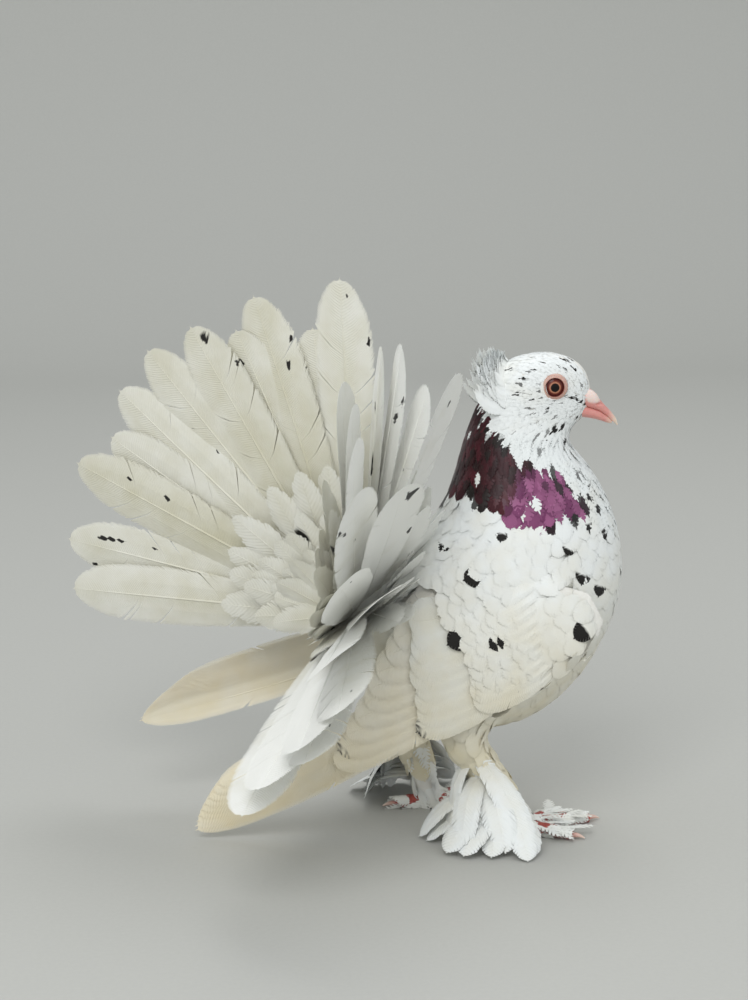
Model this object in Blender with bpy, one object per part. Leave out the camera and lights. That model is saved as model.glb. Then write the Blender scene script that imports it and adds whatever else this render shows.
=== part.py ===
"""A fantail pigeon standing with its tail fan raised, life size.

The sizes below are in millimetres in the bird's own frame: +X is forward, +Y is the bird's left,
+Z is up and the floor is z = 0. The last step moves the whole bird so that the origin is the
middle of its base, and turns millimetres into metres.
"""

import math
import random

import bmesh
import bpy
import numpy as np

MM = 0.001
GAP = 0.3  # what touching solids keep between them
SEAT = 0.42  # how far a piece is swollen to cut its seat, so that its faces keep the gap
FEATHER = 0.55  # thickness of a vane at its edge
RIDGE = 1.1  # thickness of a tail feather along its shaft

# The body is one skin of rings from the root of the tail to the crown of the head. Each ring has its
# back point and its front point in the middle plane (x, z), its half width, and how much narrower
# its front is than its back.
BODY = (
    # back x, back z, front x, front z, half width, front taper
    (-90, 114, -89, 104, 5.0, 0.0),  # end of the root of the tail
    (-84, 121, -83, 95, 12.0, 0.0),
    (-74, 126, -72, 86, 18.0, 0.0),
    (-62, 133, -57, 73, 26.0, 0.0),  # rump and vent
    (-49, 143, -36, 60, 35.0, 0.0),
    (-39, 153, -8, 51, 42.0, 0.0),
    (-34, 160, 18, 56, 45.0, 0.0),  # belly
    (-30, 166, 41, 73, 45.5, 0.05),
    (-27, 171, 57, 97, 43.5, 0.08),  # breast
    (-25, 176, 65.5, 121, 40.0, 0.10),
    (-23, 182, 66.5, 143, 35.5, 0.08),
    (-21, 189, 62, 163, 31.0, 0.05),  # foot of the neck
    (-19, 197, 54.5, 179, 27.0, 0.03),
    (-17, 205, 46, 192, 23.5, 0.03),
    (-14.5, 212, 39, 201, 20.5, 0.06),
    (-11.5, 219, 39.5, 208.5, 17.5, 0.14),  # throat
    (-8.5, 226, 46, 214, 16.0, 0.30),  # gape
    (-6, 232, 49.5, 221.5, 15.4, 0.36),
    (-3, 237.5, 49.8, 229, 14.8, 0.32),  # eye
    (1.5, 242, 47.8, 236.5, 13.2, 0.24),
    (8, 245.3, 43.6, 242, 10.5, 0.16),
    (16, 247.4, 37, 245.8, 6.5, 0.08),
    (23, 248.2, 30, 247.9, 2.0, 0.0),  # crown
)
TAIL_CUT = 3.0  # the rings, counted along BODY, where the tail, neck and head are parted
NECK_CUT = 10.6
HEAD_CUT = 14.4
BODY_SIDES = 26

EYE = (27.8, 10.5, 232.0)  # middle of the left eyeball
EYE_RADIUS = 6.4
EYE_DEPTH = 4.4  # the eyeball is flatter from side to side
EYE_LID = 0.9  # thickness of the bare rim round the eye
EYE_OPENING = 5.5  # radius of that rim
EYE_RIM = 13.6  # how far the rim lies from the middle of the head

# Rows along each half of the bill: its upper edge and its lower edge (x, z), and its half width.
UPPER_BILL = (
    (44.0, 231.5, 40.0, 222.8, 5.4),
    (48.0, 229.3, 44.5, 220.6, 5.0),
    (52.0, 225.4, 49.0, 219.0, 4.4),
    (56.0, 220.6, 53.0, 217.6, 3.5),
    (59.5, 217.0, 57.0, 214.8, 2.8),
    (62.3, 213.2, 60.8, 211.4, 1.9),
    (63.4, 210.0, 62.9, 209.6, 0.6),
)
LOWER_BILL = (
    (40.5, 222.5, 38.5, 214.5, 4.6),
    (45.5, 219.9, 44.5, 213.9, 4.3),
    (50.0, 218.5, 50.0, 213.0, 3.7),
    (54.0, 216.8, 54.0, 211.9, 3.0),
    (58.0, 213.9, 57.8, 210.6, 2.1),
    (61.2, 210.7, 60.6, 209.5, 0.8),
)
BILL_SIDES = 12
CERE = (50.2, 2.3, 225.4)  # middle of the left lobe of the cere
CERE_RADII = (4.4, 2.6, 2.9)
NOSTRIL = (53.4, 3.6, 221.8)  # middle of the left nostril
NOSTRIL_RADII = (2.7, 0.9, 0.75)

CREST_FEATHERS = 15
CREST_WIDTH = 7.0
# The crest is a shell of feathers round the back of the head. Each row is a share of the way down a
# side, the root (x, y, z), the way the feather sets out, the way it curls, and its length.
CREST = (
    (0.00, 2.0, 0.0, 243.0, -0.75, 0.00, 0.66, 0.10, 0.0, 1.00, 10.0),
    (0.25, 0.0, 5.5, 240.0, -0.88, 0.15, 0.35, -0.10, 0.0, 1.00, 13.0),
    (0.50, -1.0, 10.0, 235.0, -0.95, 0.25, 0.10, -0.30, 0.0, 0.95, 17.0),
    (0.75, 2.0, 13.0, 227.0, -1.00, 0.20, -0.05, -0.45, 0.0, 0.90, 20.0),
    (1.00, 3.0, 14.0, 220.0, -1.00, 0.15, -0.10, -0.50, 0.0, 0.85, 24.0),
)

TAIL_ROOT = (-72.0, 0.0, 113.0)
FAN_YAW = 26.0  # the fan is turned this far to the bird's left, degrees
FAN_LEAN = 6.0  # and leans back
FAN_ROW_STEP = 2.4  # the two rows of tail feathers start this far apart
FAN_TILT = 5.0  # each feather is tilted this far over the next
TAIL_WIDTH = 34.0
# Tail feathers by their angle round the fan, from the bird's left to its right, 0 being up, with
# their length. The rear row shows from behind, and the front row from the head. The left half is
# flat and folded back, and the right half curves back more and more.
REAR_ROW = (
    (-87, 161), (-62, 168), (-46, 169), (-27, 169), (-12.5, 171), (4, 175), (13, 134), (25, 140),
    (38, 146), (51, 163), (65, 164), (79, 164), (93, 165), (106, 166), (117, 161),
)
FRONT_ROW = (
    (-77, 167), (-55, 160), (-37, 173), (-19, 158), (-5, 150), (15.5, 150), (22, 158), (30, 146),
    (37, 169), (52, 156), (69, 158), (88, 158), (103, 156),
)
LEFT_FOLD = 37.0  # how far the left half is folded back from the fan's own plane
SPINE = 6.0  # the angle where the two halves meet
RIGHT_SWEEP = 50.0  # how far the right edge sweeps back
RIGHT_ROLL = 24.0  # how far the upright feathers of the right half are turned about their shafts
QUILL_SHARES = (0.04, 0.36, 0.76, 0.94, 1.0)  # where along its length a tail feather has a row of points
COVERT_SHARES = (0.06, 0.4, 0.8, 1.0)
# Coverts of the tail: count, first angle, step, length, how much shorter the outer ones are, how much
# the length varies, width, distance behind the middle of the fan, and lay.
UNDER_COVERTS = (9, -74, 19, 104, 20, 7, 29, 5.0, 7.0)
UPPER_COVERTS = (7, -62, 22, 80, 0, 6, 28, -5.0, -8.0)

# A folded wing is laid out on its own curved sheet: u runs from the wrist to the wing tip, v across
# it towards the back, and h stands off it. These are the wrist and the tip of each wing.
RIGHT_WRIST = (43.0, -51.0, 116.0)
RIGHT_TIP = (-157.0, -24.0, 7.0)
LEFT_WRIST = (43.0, 51.0, 116.0)
LEFT_TIP = (-183.0, 50.0, 48.0)
WING_CORE = 7.0  # thickness of the flesh of the wing
WING_BASE = 1.4  # how far the flesh lies under the sheet
WING_COLUMNS = 6
PRIMARIES = 6
PRIMARY_WIDTH = 17
SECONDARIES = 7
SECONDARY_WIDTH = 22
WING_COVERTS = (
    # count, root u and v, tip u and v, step across, slope of the tips, width, level
    (6, 48, -8, 104, -5, 10.0, -4.5, 23, 0.8),  # greater coverts
    (6, 22, -7, 70, -6, 9.6, -2.6, 22, 2.9),  # median coverts
)

RIGHT_FOOT = (10.0, -25.0)
LEFT_FOOT = (-30.0, 22.0)
RIGHT_HEEL = (-15.0, -25.0, 46.0)
LEFT_HEEL = (-42.0, 22.0, 47.0)
HOCK_RADIUS = 11.0
HIP_HEIGHT = 76.0
THIGH_RADII = (14.5, 15.0, 13.5, HOCK_RADIUS + 1.2, HOCK_RADIUS)
SHANK_RADII = (HOCK_RADIUS, 8.5, 7.0, 6.0)
TOE_RADII = (5.0, 4.2, 3.8, 2.7)
TOE_HEIGHTS = ((0, 7.0), (0.3, 3.6), (0.65, 3.2), (1.0, 2.2))  # share of the length, and middle height
CLAW_RADII = (1.5, 1.1, 0.35)
FOOT_FEATHERS = 9
TOES = (
    # heading from straight ahead, outwards positive, and length
    (-40, 32.0),  # inner toe
    (-18, 41.0),  # middle toe
    (26, 29.0),  # outer toe
    (172, 19.0),  # hind toe
)

WHITE = (0.86, 0.86, 0.83)
PLUM = (0.16, 0.04, 0.09)
BILL_PINK = (0.82, 0.50, 0.46)
FOOT_RED = (0.62, 0.25, 0.23)
CLAW_PINK = (0.70, 0.52, 0.48)
IRIS = (0.45, 0.17, 0.10)


def clear_scene():
    """Starts from an empty scene."""
    for obj in list(bpy.data.objects):
        bpy.data.objects.remove(obj)


def material(name, colour, roughness):
    """A plain finish in the part's colour."""
    made = bpy.data.materials.new(name)
    made.use_nodes = True
    shader = made.node_tree.nodes["Principled BSDF"]
    shader.inputs["Base Color"].default_value = (*colour, 1.0)
    shader.inputs["Roughness"].default_value = roughness
    return made


def unit(vector):
    """The vector at length one."""
    vector = np.asarray(vector, float)
    return vector / np.linalg.norm(vector)


def mesh_object(name, points, faces, finish=None):
    """A mesh object from points in millimetres, facing out."""
    mesh = bpy.data.meshes.new(name)
    mesh.from_pydata([tuple(p) for p in points], [], [tuple(f) for f in faces])
    bm = bmesh.new()
    bm.from_mesh(mesh)
    bmesh.ops.recalc_face_normals(bm, faces=bm.faces)
    if bm.calc_volume(signed=True) < 0:
        bmesh.ops.reverse_faces(bm, faces=bm.faces)
    bmesh.ops.triangulate(bm, faces=bm.faces)
    bm.to_mesh(mesh)
    bm.free()
    obj = bpy.data.objects.new(name, mesh)
    bpy.context.scene.collection.objects.link(obj)
    if finish:
        mesh.materials.append(finish)
    return obj


def loft(rings):
    """Points and faces of a closed skin over rings that all have the same number of points."""
    count = len(rings[0])
    points = [p for ring in rings for p in ring]
    faces = []
    for r in range(len(rings) - 1):
        for k in range(count):
            a, b = r * count + k, r * count + (k + 1) % count
            faces.append((a, b, b + count))
            faces.append((a, b + count, a + count))
    last = (len(rings) - 1) * count
    faces.append(tuple(range(count)))
    faces.append(tuple(last + k for k in reversed(range(count))))
    return points, faces


def body_station(s):
    """The row of BODY at the place s, smoothly between its rows."""
    rows = np.array(BODY, float)
    s = min(max(s, 0.0), len(rows) - 1.0)
    i = min(int(s), len(rows) - 2)
    t = s - i
    before = rows[max(i - 1, 0)]
    after = rows[min(i + 2, len(rows) - 1)]
    a, b = rows[i], rows[i + 1]
    return 0.5 * (
        2 * a + (b - before) * t + (2 * before - 5 * a + 4 * b - after) * t**2
        + (3 * a - before - 3 * b + after) * t**3
    )


def body_ring(s, sides=BODY_SIDES, shift=0.0):
    """One ring of the body at the place s, moved on by shift."""
    bx, bz, fx, fz, half, taper = body_station(s)
    back, front = np.array([bx, 0, bz]), np.array([fx, 0, fz])
    middle, reach = (back + front) / 2, np.linalg.norm(front - back) / 2
    along = unit(front - back)
    onward = np.array([-along[2], 0, along[0]])
    ring = []
    for k in range(sides):
        angle = 2 * math.pi * k / sides
        forward, side = math.cos(angle), math.sin(angle)
        wide = half * (1 - taper * forward)
        ring.append(middle + onward * shift + along * reach * forward + np.array([0, wide * side, 0]))
    return ring


def body_piece(name, start, end, steps, finish=None, gap=0.0, sides=BODY_SIDES):
    """The body from one place to another, with a flat face at each end."""
    rings = [
        body_ring(start + (end - start) * k / steps, sides, gap if k == 0 else 0.0)
        for k in range(steps + 1)
    ]
    return mesh_object(name, *loft(rings), finish)


def ellipsoid(name, centre, radii, sides=16, rows=8, finish=None):
    """A rounded lump."""
    rings = []
    for r in range(1, rows):
        lift = math.pi * r / rows
        rings.append(
            [
                np.array(centre)
                + np.array(
                    [
                        radii[0] * math.sin(lift) * math.cos(2 * math.pi * k / sides),
                        radii[1] * math.sin(lift) * math.sin(2 * math.pi * k / sides),
                        radii[2] * math.cos(lift),
                    ]
                )
                for k in range(sides)
            ]
        )
    return mesh_object(name, *loft(rings), finish)


def tube(name, path, radii, sides=8, finish=None, floor=None, start_axis=None, end_axis=None):
    """A tapered tube along a path, flattened where it would pass below a floor. An axis given for
    an end sets how its flat face looks."""
    path = [np.array(p, float) for p in path]
    rings = []
    side = None
    for i, here in enumerate(path):
        onward = unit(path[min(i + 1, len(path) - 1)] - path[max(i - 1, 0)])
        if i == 0 and start_axis is not None:
            onward = np.array(start_axis)
        if i == len(path) - 1 and end_axis is not None:
            onward = np.array(end_axis)
        if side is None:
            start = np.array([0, 0, 1.0]) if abs(onward[2]) < 0.8 else np.array([1.0, 0, 0])
            side = unit(np.cross(onward, start))
        else:
            side = unit(side - onward * np.dot(side, onward))
        up = np.cross(side, onward)
        ring = []
        for k in range(sides):
            angle = 2 * math.pi * (k + 0.5) / sides
            p = here + radii[i] * (side * math.cos(angle) + up * math.sin(angle))
            if floor is not None:
                p[2] = max(p[2], floor)
            ring.append(p)
        rings.append(ring)
    return mesh_object(name, *loft(rings), finish)


def vane(name, stations):
    """A feather as a thin closed plate. Each station is its middle, the direction across it, its
    outward direction, its width to either side, and its thickness at the shaft and at the edge.
    Both faces are split into triangles alike."""
    rows = []
    for middle, across, out, left, right, shaft, edge in stations:
        plan = ((-left, edge), (0.0, shaft), (right, edge))
        rows.append(
            [middle + across * w + out * h / 2 for w, h in plan]
            + [middle + across * w - out * h / 2 for w, h in plan]
        )
    points = [p for row in rows for p in row]
    faces = []
    for r in range(len(rows) - 1):
        a, b = 6 * r, 6 * (r + 1)
        for k in (0, 1):
            faces.append((a + k, a + k + 1, b + k + 1))
            faces.append((a + k, b + k + 1, b + k))
            faces.append((a + k + 3, b + k + 4, a + k + 4))
            faces.append((a + k + 3, b + k + 3, b + k + 4))
        faces.append((a, b, b + 3))
        faces.append((a, b + 3, a + 3))
        faces.append((a + 2, a + 5, b + 5))
        faces.append((a + 2, b + 5, b + 2))
    for r in (0, len(rows) - 1):
        a = 6 * r
        for k in (0, 1):
            faces.append((a + k, a + k + 3, a + k + 4))
            faces.append((a + k, a + k + 4, a + k + 1))
    return mesh_object(name, points, faces)


def plain_vane(name, stations):
    """A small feather: a thin closed plate with no ridge, for coverts."""
    rows = []
    for middle, across, out, left, right, thick in stations:
        rows.append(
            [middle - across * left + out * thick / 2, middle + across * right + out * thick / 2]
            + [middle - across * left - out * thick / 2, middle + across * right - out * thick / 2]
        )
    points = [p for row in rows for p in row]
    faces = []
    for r in range(len(rows) - 1):
        a, b = 4 * r, 4 * (r + 1)
        faces.append((a, a + 1, b + 1))
        faces.append((a, b + 1, b))
        faces.append((a + 2, b + 3, a + 3))
        faces.append((a + 2, b + 2, b + 3))
        faces.append((a, b, b + 2))
        faces.append((a, b + 2, a + 2))
        faces.append((a + 1, a + 3, b + 3))
        faces.append((a + 1, b + 3, b + 1))
    for r in (0, len(rows) - 1):
        a = 4 * r
        faces.append((a, a + 2, a + 3))
        faces.append((a, a + 3, a + 1))
    return mesh_object(name, points, faces)


def boolean(obj, other, operation, solver="MANIFOLD"):
    """Cuts or joins obj with an object or a collection, for good."""
    step = obj.modifiers.new("join", "BOOLEAN")
    step.operation = operation
    step.solver = solver
    if isinstance(other, bpy.types.Collection):
        step.operand_type = "COLLECTION"
        step.collection = other
    else:
        step.object = other
    graph = bpy.context.evaluated_depsgraph_get()
    made = bpy.data.meshes.new_from_object(obj.evaluated_get(graph))
    obj.modifiers.remove(step)
    obj.data = made


def swollen(obj, amount):
    """A copy of an object made larger by an amount, to cut its seat with."""
    copy = obj.copy()
    copy.data = obj.data.copy()
    bpy.context.scene.collection.objects.link(copy)
    normals = [v.normal.copy() for v in copy.data.vertices]
    for vertex, normal in zip(copy.data.vertices, normals):
        vertex.co += normal * amount
    return copy


def keep_largest(obj):
    """Leaves the largest closed surface of a mesh."""
    bm = bmesh.new()
    bm.from_mesh(obj.data)
    bmesh.ops.remove_doubles(bm, verts=bm.verts, dist=1e-5)
    bm.verts.ensure_lookup_table()
    seen, groups = set(), []
    for start in bm.verts:
        if start.index in seen:
            continue
        stack, group = [start], []
        seen.add(start.index)
        while stack:
            here = stack.pop()
            group.append(here)
            for edge in here.link_edges:
                other = edge.other_vert(here)
                if other.index not in seen:
                    seen.add(other.index)
                    stack.append(other)
        groups.append(group)
    groups.sort(key=len)
    if len(groups) > 1:
        print(obj.name, "dropped", [len(g) for g in groups[:-1]])
    for group in groups[:-1]:
        bmesh.ops.delete(bm, geom=group, context="VERTS")
    bmesh.ops.triangulate(bm, faces=bm.faces)
    bm.to_mesh(obj.data)
    bm.free()


def join(base, pieces):
    """Fuses the pieces into the base with one Boolean union and removes them."""
    group = bpy.data.collections.new(base.name + " pieces")
    bpy.context.scene.collection.children.link(group)
    for piece in pieces:
        bpy.context.scene.collection.objects.unlink(piece)
        group.objects.link(piece)
    bpy.context.view_layer.update()
    boolean(base, group, "UNION")
    for piece in pieces:
        bpy.data.objects.remove(piece)
    bpy.data.collections.remove(group)
    keep_largest(base)


def cut(base, cutters):
    """Takes the cutters out of the base and removes them."""
    for cutter in cutters:
        bpy.context.view_layer.update()
        boolean(base, cutter, "DIFFERENCE")
        bpy.data.objects.remove(cutter)
    keep_largest(base)


def feather_width(t, full, root):
    """Half the width of a broad feather at the share t of its length."""
    opening = math.sin(min(1.0, t / 0.7) * math.pi / 2)
    closing = math.sqrt(max(0.0, 1 - max(0.0, (t - 0.8) / 0.205) ** 2))
    return max(root, full * (0.12 + 0.88 * opening) * closing) / 2


def fan_axes():
    """The fan's up, right and forward directions."""
    yaw, lean = math.radians(FAN_YAW), math.radians(FAN_LEAN)
    ahead = np.array([math.cos(yaw), math.sin(yaw), 0.0])
    right = np.array([math.sin(yaw), -math.cos(yaw), 0.0])
    up = -math.sin(lean) * ahead + math.cos(lean) * np.array([0, 0, 1.0])
    return up, right, math.cos(lean) * ahead + math.sin(lean) * np.array([0, 0, 1.0])


def rear_sweep(angle):
    """How far a feather of the right half sweeps back in the rear row, in degrees."""
    return RIGHT_SWEEP * angle / 115


def front_sweep(angle):
    """The same in the front row, which stands straight up as far as 38."""
    if angle < 38:
        return -3.0
    return rear_sweep(angle) * (1 - math.exp((38 - angle) / 12)) - 3.0


def fan_direction(angle, sweep_of, lay=0.0):
    """The direction of a tail feather. A lay leans it out of its row, towards the rear."""
    up, right, ahead = fan_axes()
    turn = math.radians(angle)
    if angle < SPINE:
        fold = math.radians(LEFT_FOLD)
        left = -(math.cos(fold) * right + math.sin(fold) * ahead)
        rear = math.sin(fold) * right - math.cos(fold) * ahead
        lean = math.radians(lay)
        return math.cos(lean) * (up * math.cos(turn) - left * math.sin(turn)) + rear * math.sin(lean)
    back = math.radians(sweep_of(angle) + lay)
    return math.cos(back) * (up * math.cos(turn) + right * math.sin(turn)) - ahead * math.sin(back)


def fan_feather(name, angle, length, width, sweep_of, row, bend=0.0, lay=0.0, ridge=True):
    """One feather of the fan, rooted in the tail's flesh. A row is a distance behind the fan's middle."""
    ahead = fan_axes()[2]
    along = fan_direction(angle, sweep_of, lay)
    near = angle + (-4 if angle < SPINE else 4)
    step = (fan_direction(near, sweep_of, lay) - along) * (near - angle)
    across = unit(step - along * np.dot(step, along))
    out = np.cross(across, along)  # towards the rear
    roll = RIGHT_ROLL * math.exp(-angle / 60) if angle > SPINE else 0.0
    turn = math.radians(FAN_TILT + roll)
    c, s = math.cos(turn), math.sin(turn)
    across, out = across * c + out * s, out * c - across * s
    root = np.array(TAIL_ROOT) - ahead * row
    stations = []
    for t in QUILL_SHARES if ridge else COVERT_SHARES:
        middle = root + along * length * t + out * bend * t**2
        half = feather_width(t, width, 4.0)
        if ridge:
            taper = 1 - 0.5 * t
            stations.append((middle, across, out, half, half, RIDGE * taper + 0.3, FEATHER))
        else:
            stations.append((middle, across, out, half, half, FEATHER))
    return vane(name, stations) if ridge else plain_vane(name, stations)


def make_tail(torso, finish):
    """The root of the tail with its two rows of feathers, and the coverts before and behind them."""
    core = body_piece("tail", 0.0, TAIL_CUT, 5, finish, sides=20)
    draw = random.Random(5)
    pieces = []
    for i, (angle, length) in enumerate(REAR_ROW):
        pieces.append(
            fan_feather(f"rear {i}", angle, length, TAIL_WIDTH, rear_sweep, FAN_ROW_STEP / 2,
                        bend=draw.uniform(-4, 3))
        )
    for i, (angle, length) in enumerate(FRONT_ROW):
        pieces.append(
            fan_feather(f"front {i}", angle, length, TAIL_WIDTH - 1, front_sweep, -FAN_ROW_STEP / 2,
                        bend=draw.uniform(-1, 5))
        )
    tiers = (("under", UNDER_COVERTS, rear_sweep), ("upper", UPPER_COVERTS, front_sweep))
    for label, tier, sweep_of in tiers:
        count, first, step, long, shorter, vary, width, row, lay = tier
        for i in range(count):
            length = long - shorter * abs(i - count // 2) / 5 + draw.uniform(-vary, vary)
            pieces.append(
                fan_feather(f"{label} covert {i}", first + step * i, length, width, sweep_of, row,
                            lay=lay, ridge=False)
            )
    join(core, pieces)
    cut(core, [swollen(torso, SEAT)])
    return core


def wing_axes(wrist, tip):
    """The wing's own directions: along it, across it towards the back, and out of its side."""
    along = unit(np.array(tip) - np.array(wrist))
    flat = unit(np.array([along[2], 0.0, -along[0]]))
    if flat[2] < 0:
        flat = -flat
    across = unit(flat - along * np.dot(flat, along))
    out = np.cross(along, across)
    if out[1] * wrist[1] < 0:
        out = -out
    return along, across, out


def wing_point(wing, u, v, h):
    """A point on the sheet of a folded wing, standing h off it."""
    wrist, tip = wing

    def sheet(uu, vv):
        along, across, out = wing_axes(wrist, tip)
        length = np.linalg.norm(np.array(tip) - np.array(wrist))
        share = min(max(uu / length, 0.0), 1.0)
        wrap = 30.0 * (1 - share) + 4.0
        upper = max(0.0, vv - 6.0) / 60.0
        lower = max(0.0, -vv - 2.0) / 20.0
        nose = max(0.0, 22.0 - uu) / 30.0
        side = -wrap * upper**2 - 3.0 * lower**2 - 9.0 * nose**2 + 5.0 * math.sin(math.pi * share)
        return np.array(wrist) + along * uu + across * vv + out * side

    here = sheet(u, v)
    if h == 0:
        return here
    across = sheet(u, v + 1) - sheet(u, v - 1)
    along = sheet(u + 1, v) - sheet(u - 1, v)
    out = unit(np.cross(along, across))
    if np.dot(out, wing_axes(wrist, tip)[2]) < 0:
        out = -out
    return here + out * h


def wing_feather(name, wing, root, tip, width, level, sink, tilt, shares, sag=0.0):
    """A feather of a folded wing from its root to its tip, both as (u, v). Its lower edge lies over
    the feather below it, and its root is sunk in the flesh."""
    root, tip = np.array(root, float), np.array(tip, float)
    length = np.linalg.norm(tip - root)
    along = (tip - root) / length
    across = np.array([-along[1], along[0]])
    points, faces = [], []
    for t in shares:
        half = feather_width(t, width, 3.0)
        middle = root + along * length * t + across * sag * 4 * t * (1 - t)
        height = level - sink * max(0.0, 1 - t / 0.3) ** 1.5
        for w in (-half, half):
            u, v = middle + across * w
            top = height - w * tilt
            points.append(wing_point(wing, u, v, top))
            points.append(wing_point(wing, u, v, top - FEATHER))
    for r in range(len(shares) - 1):
        a, b = 4 * r, 4 * (r + 1)
        faces += [(a, a + 2, b + 2), (a, b + 2, b)]
        faces += [(a + 1, b + 3, a + 3), (a + 1, b + 1, b + 3)]
        faces += [(a, b, b + 1), (a, b + 1, a + 1)]
        faces += [(a + 2, a + 3, b + 3), (a + 2, b + 3, b + 2)]
    for a in (0, 4 * (len(shares) - 1)):
        faces += [(a, a + 1, a + 3), (a, a + 3, a + 2)]
    return mesh_object(name, points, faces)


def wing_flesh(name, wing, finish):
    """The closed core of a folded wing, from the wrist to the middle of the forearm."""
    outline = ((-7, -4, 14), (4, -12, 26), (22, -15, 40), (44, -16, 54), (68, -15, 60), (86, -11, 48))
    rings = []
    for u, low, high in outline:
        outer, inner = [], []
        for k in range(WING_COLUMNS + 1):
            v = low + (high - low) * k / WING_COLUMNS
            edge = abs(2 * k / WING_COLUMNS - 1) ** 3
            outer.append(wing_point(wing, u, v, -WING_BASE - edge))
            inner.append(wing_point(wing, u, v, -WING_BASE - WING_CORE + edge))
        rings.append(outer + inner[::-1])
    return mesh_object(name, *loft(rings), finish)


def make_wing(name, wing, spread, torso, finish, draw):
    """A folded wing: primaries, secondaries, and two tiers of coverts over its flesh."""
    core = wing_flesh(name, wing, finish)
    length = np.linalg.norm(np.array(wing[1]) - np.array(wing[0]))
    pieces = []
    for i in range(PRIMARIES):  # from the leading edge inwards
        root, tip = (80 - i, -7 + 3.2 * i), (length - 1.9 * i**1.55, -2.2 + spread * i)
        pieces.append(
            wing_feather(f"{name} primary {i}", wing, root, tip, PRIMARY_WIDTH, -5.9 + 0.62 * i, 0.9, 0.03,
                         (0.0, 0.3, 0.6, 0.87, 1.0), sag=-3.0 + 0.6 * i)
        )
    for i in range(SECONDARIES):
        root, tip = (66 - 5.6 * i, -8 + 7.4 * i), (150 - 11 * i, -1 + 8.0 * i)
        pieces.append(
            wing_feather(f"{name} secondary {i}", wing, root, tip, SECONDARY_WIDTH, -1.8, 2.8, 0.08,
                         (0.0, 0.4, 0.85, 1.0), sag=1.0)
        )
    for t, (count, ru, rv, tu, tv, step, slope, width, level) in enumerate(WING_COVERTS):
        for i in range(count):
            root = (ru + slope * i + draw.uniform(-1, 1), rv + step * 0.86 * i)
            tip = (tu + slope * i + draw.uniform(-2, 2), tv + step * i)
            pieces.append(
                wing_feather(f"{name} covert {t} {i}", wing, root, tip, width, level, level + 3.6, 0.08,
                             (0.0, 0.5, 0.86, 1.0))
            )
    join(core, pieces)
    cut(core, [swollen(torso, SEAT)])
    return core


def crest_at(share, first):
    """Three columns of CREST, from the first, for a share from -1 on the right to 1 on the left."""
    rows = np.array(CREST)
    x, y, z = (np.interp(abs(share), rows[:, 0], rows[:, first + i]) for i in range(3))
    return np.array([x, math.copysign(y, share), z])


def crest_feather(name, share):
    """One feather of the crest, which sets out along the head and curls up."""
    root, set_out, curl_to = crest_at(share, 1), unit(crest_at(share, 4)), unit(crest_at(share, 7))
    long = np.interp(abs(share), [row[0] for row in CREST], [row[10] for row in CREST])
    rim = unit(crest_at(share + 0.03, 1) - crest_at(share - 0.03, 1))
    across = unit(rim - set_out * np.dot(rim, set_out))
    stations = []
    for t, wide in ((-0.25, 0.6), (0.3, 0.95), (0.7, 1.0), (1.0, 0.4)):
        bent = max(t, 0) / 2
        middle = root + long * t * (set_out * (1 - bent) + curl_to * bent)
        heading = unit(set_out * (1 - 2 * bent) + curl_to * 2 * bent)
        half = CREST_WIDTH * wide / 2
        stations.append((middle, across, unit(np.cross(across, heading)), half, half, 0.6))
    return plain_vane(name, stations)


def make_head(finish):
    """The head with its crest, the rims of its eyes and the seats of its eyes and bill."""
    head = body_piece("head", HEAD_CUT, len(BODY) - 1.0, 13, finish, gap=GAP)
    pieces = [
        crest_feather(f"crest {i}", 2 * i / (CREST_FEATHERS - 1) - 1) for i in range(CREST_FEATHERS)
    ]
    sockets = []
    for side in (-1, 1):
        axis = unit((0.12, side, 0.05))
        rim = np.array([EYE[0], side * EYE_RIM, EYE[2]])
        pieces.append(ring_rim(f"lid {side}", rim, axis, EYE_OPENING, EYE_LID))
        centre = (EYE[0], side * EYE[1], EYE[2])
        sockets.append(eyeball(f"socket {side}", centre, GAP))
    join(head, pieces)
    cut(head, sockets)
    return head


def eyeball(name, centre, swell=0.0, finish=None):
    """The flattened ball of an eye."""
    wide = EYE_RADIUS + swell
    return ellipsoid(name, centre, (wide, EYE_DEPTH + swell, wide), 14, 6, finish)


def ring_rim(name, centre, axis, radius, thick):
    """A round rim standing round an axis."""
    first = unit(np.cross(axis, np.array([0, 0, 1.0])))
    second = np.cross(axis, first)
    count, sides = 14, 4
    points, faces = [], []
    for i in range(count):
        a = 2 * math.pi * i / count
        out = first * math.cos(a) * 1.16 + second * math.sin(a)
        for k in range(sides):
            b = 2 * math.pi * k / sides
            points.append(centre + out * (radius + thick * math.cos(b)) + axis * thick * 1.3 * math.sin(b))
    for i in range(count):
        for k in range(sides):
            a, b = i * sides + k, i * sides + (k + 1) % sides
            c, d = (i + 1) % count * sides + k, (i + 1) % count * sides + (k + 1) % sides
            faces.append((a, b, d, c))
    return mesh_object(name, points, faces)


def bill_half(name, rows, mate, finish):
    """One half of the bill. Its sides stand upright where it meets its mate, which lies above (1) or
    below (-1)."""
    rings = []
    for tx, tz, lx, lz, half in rows:
        top, low = np.array([tx, 0, tz]), np.array([lx, 0, lz])
        ring = []
        for k in range(BILL_SIDES):
            turn = 2 * math.pi * k / BILL_SIDES
            power = 0.45 if math.cos(turn) * mate > 0 else 1.0
            wide = half * math.copysign(abs(math.sin(turn)) ** power, math.sin(turn))
            ring.append((top + low) / 2 + (top - low) / 2 * math.cos(turn) + np.array([0, wide, 0]))
        rings.append(ring)
    return mesh_object(name, *loft(rings), finish)


def on_both_sides(name, centre, radii):
    """An ellipsoid on the left and its mirror image on the right."""
    x, y, z = centre
    return [ellipsoid(f"{name} {side}", (x, side * y, z), radii, 10, 6) for side in (-1, 1)]


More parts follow.
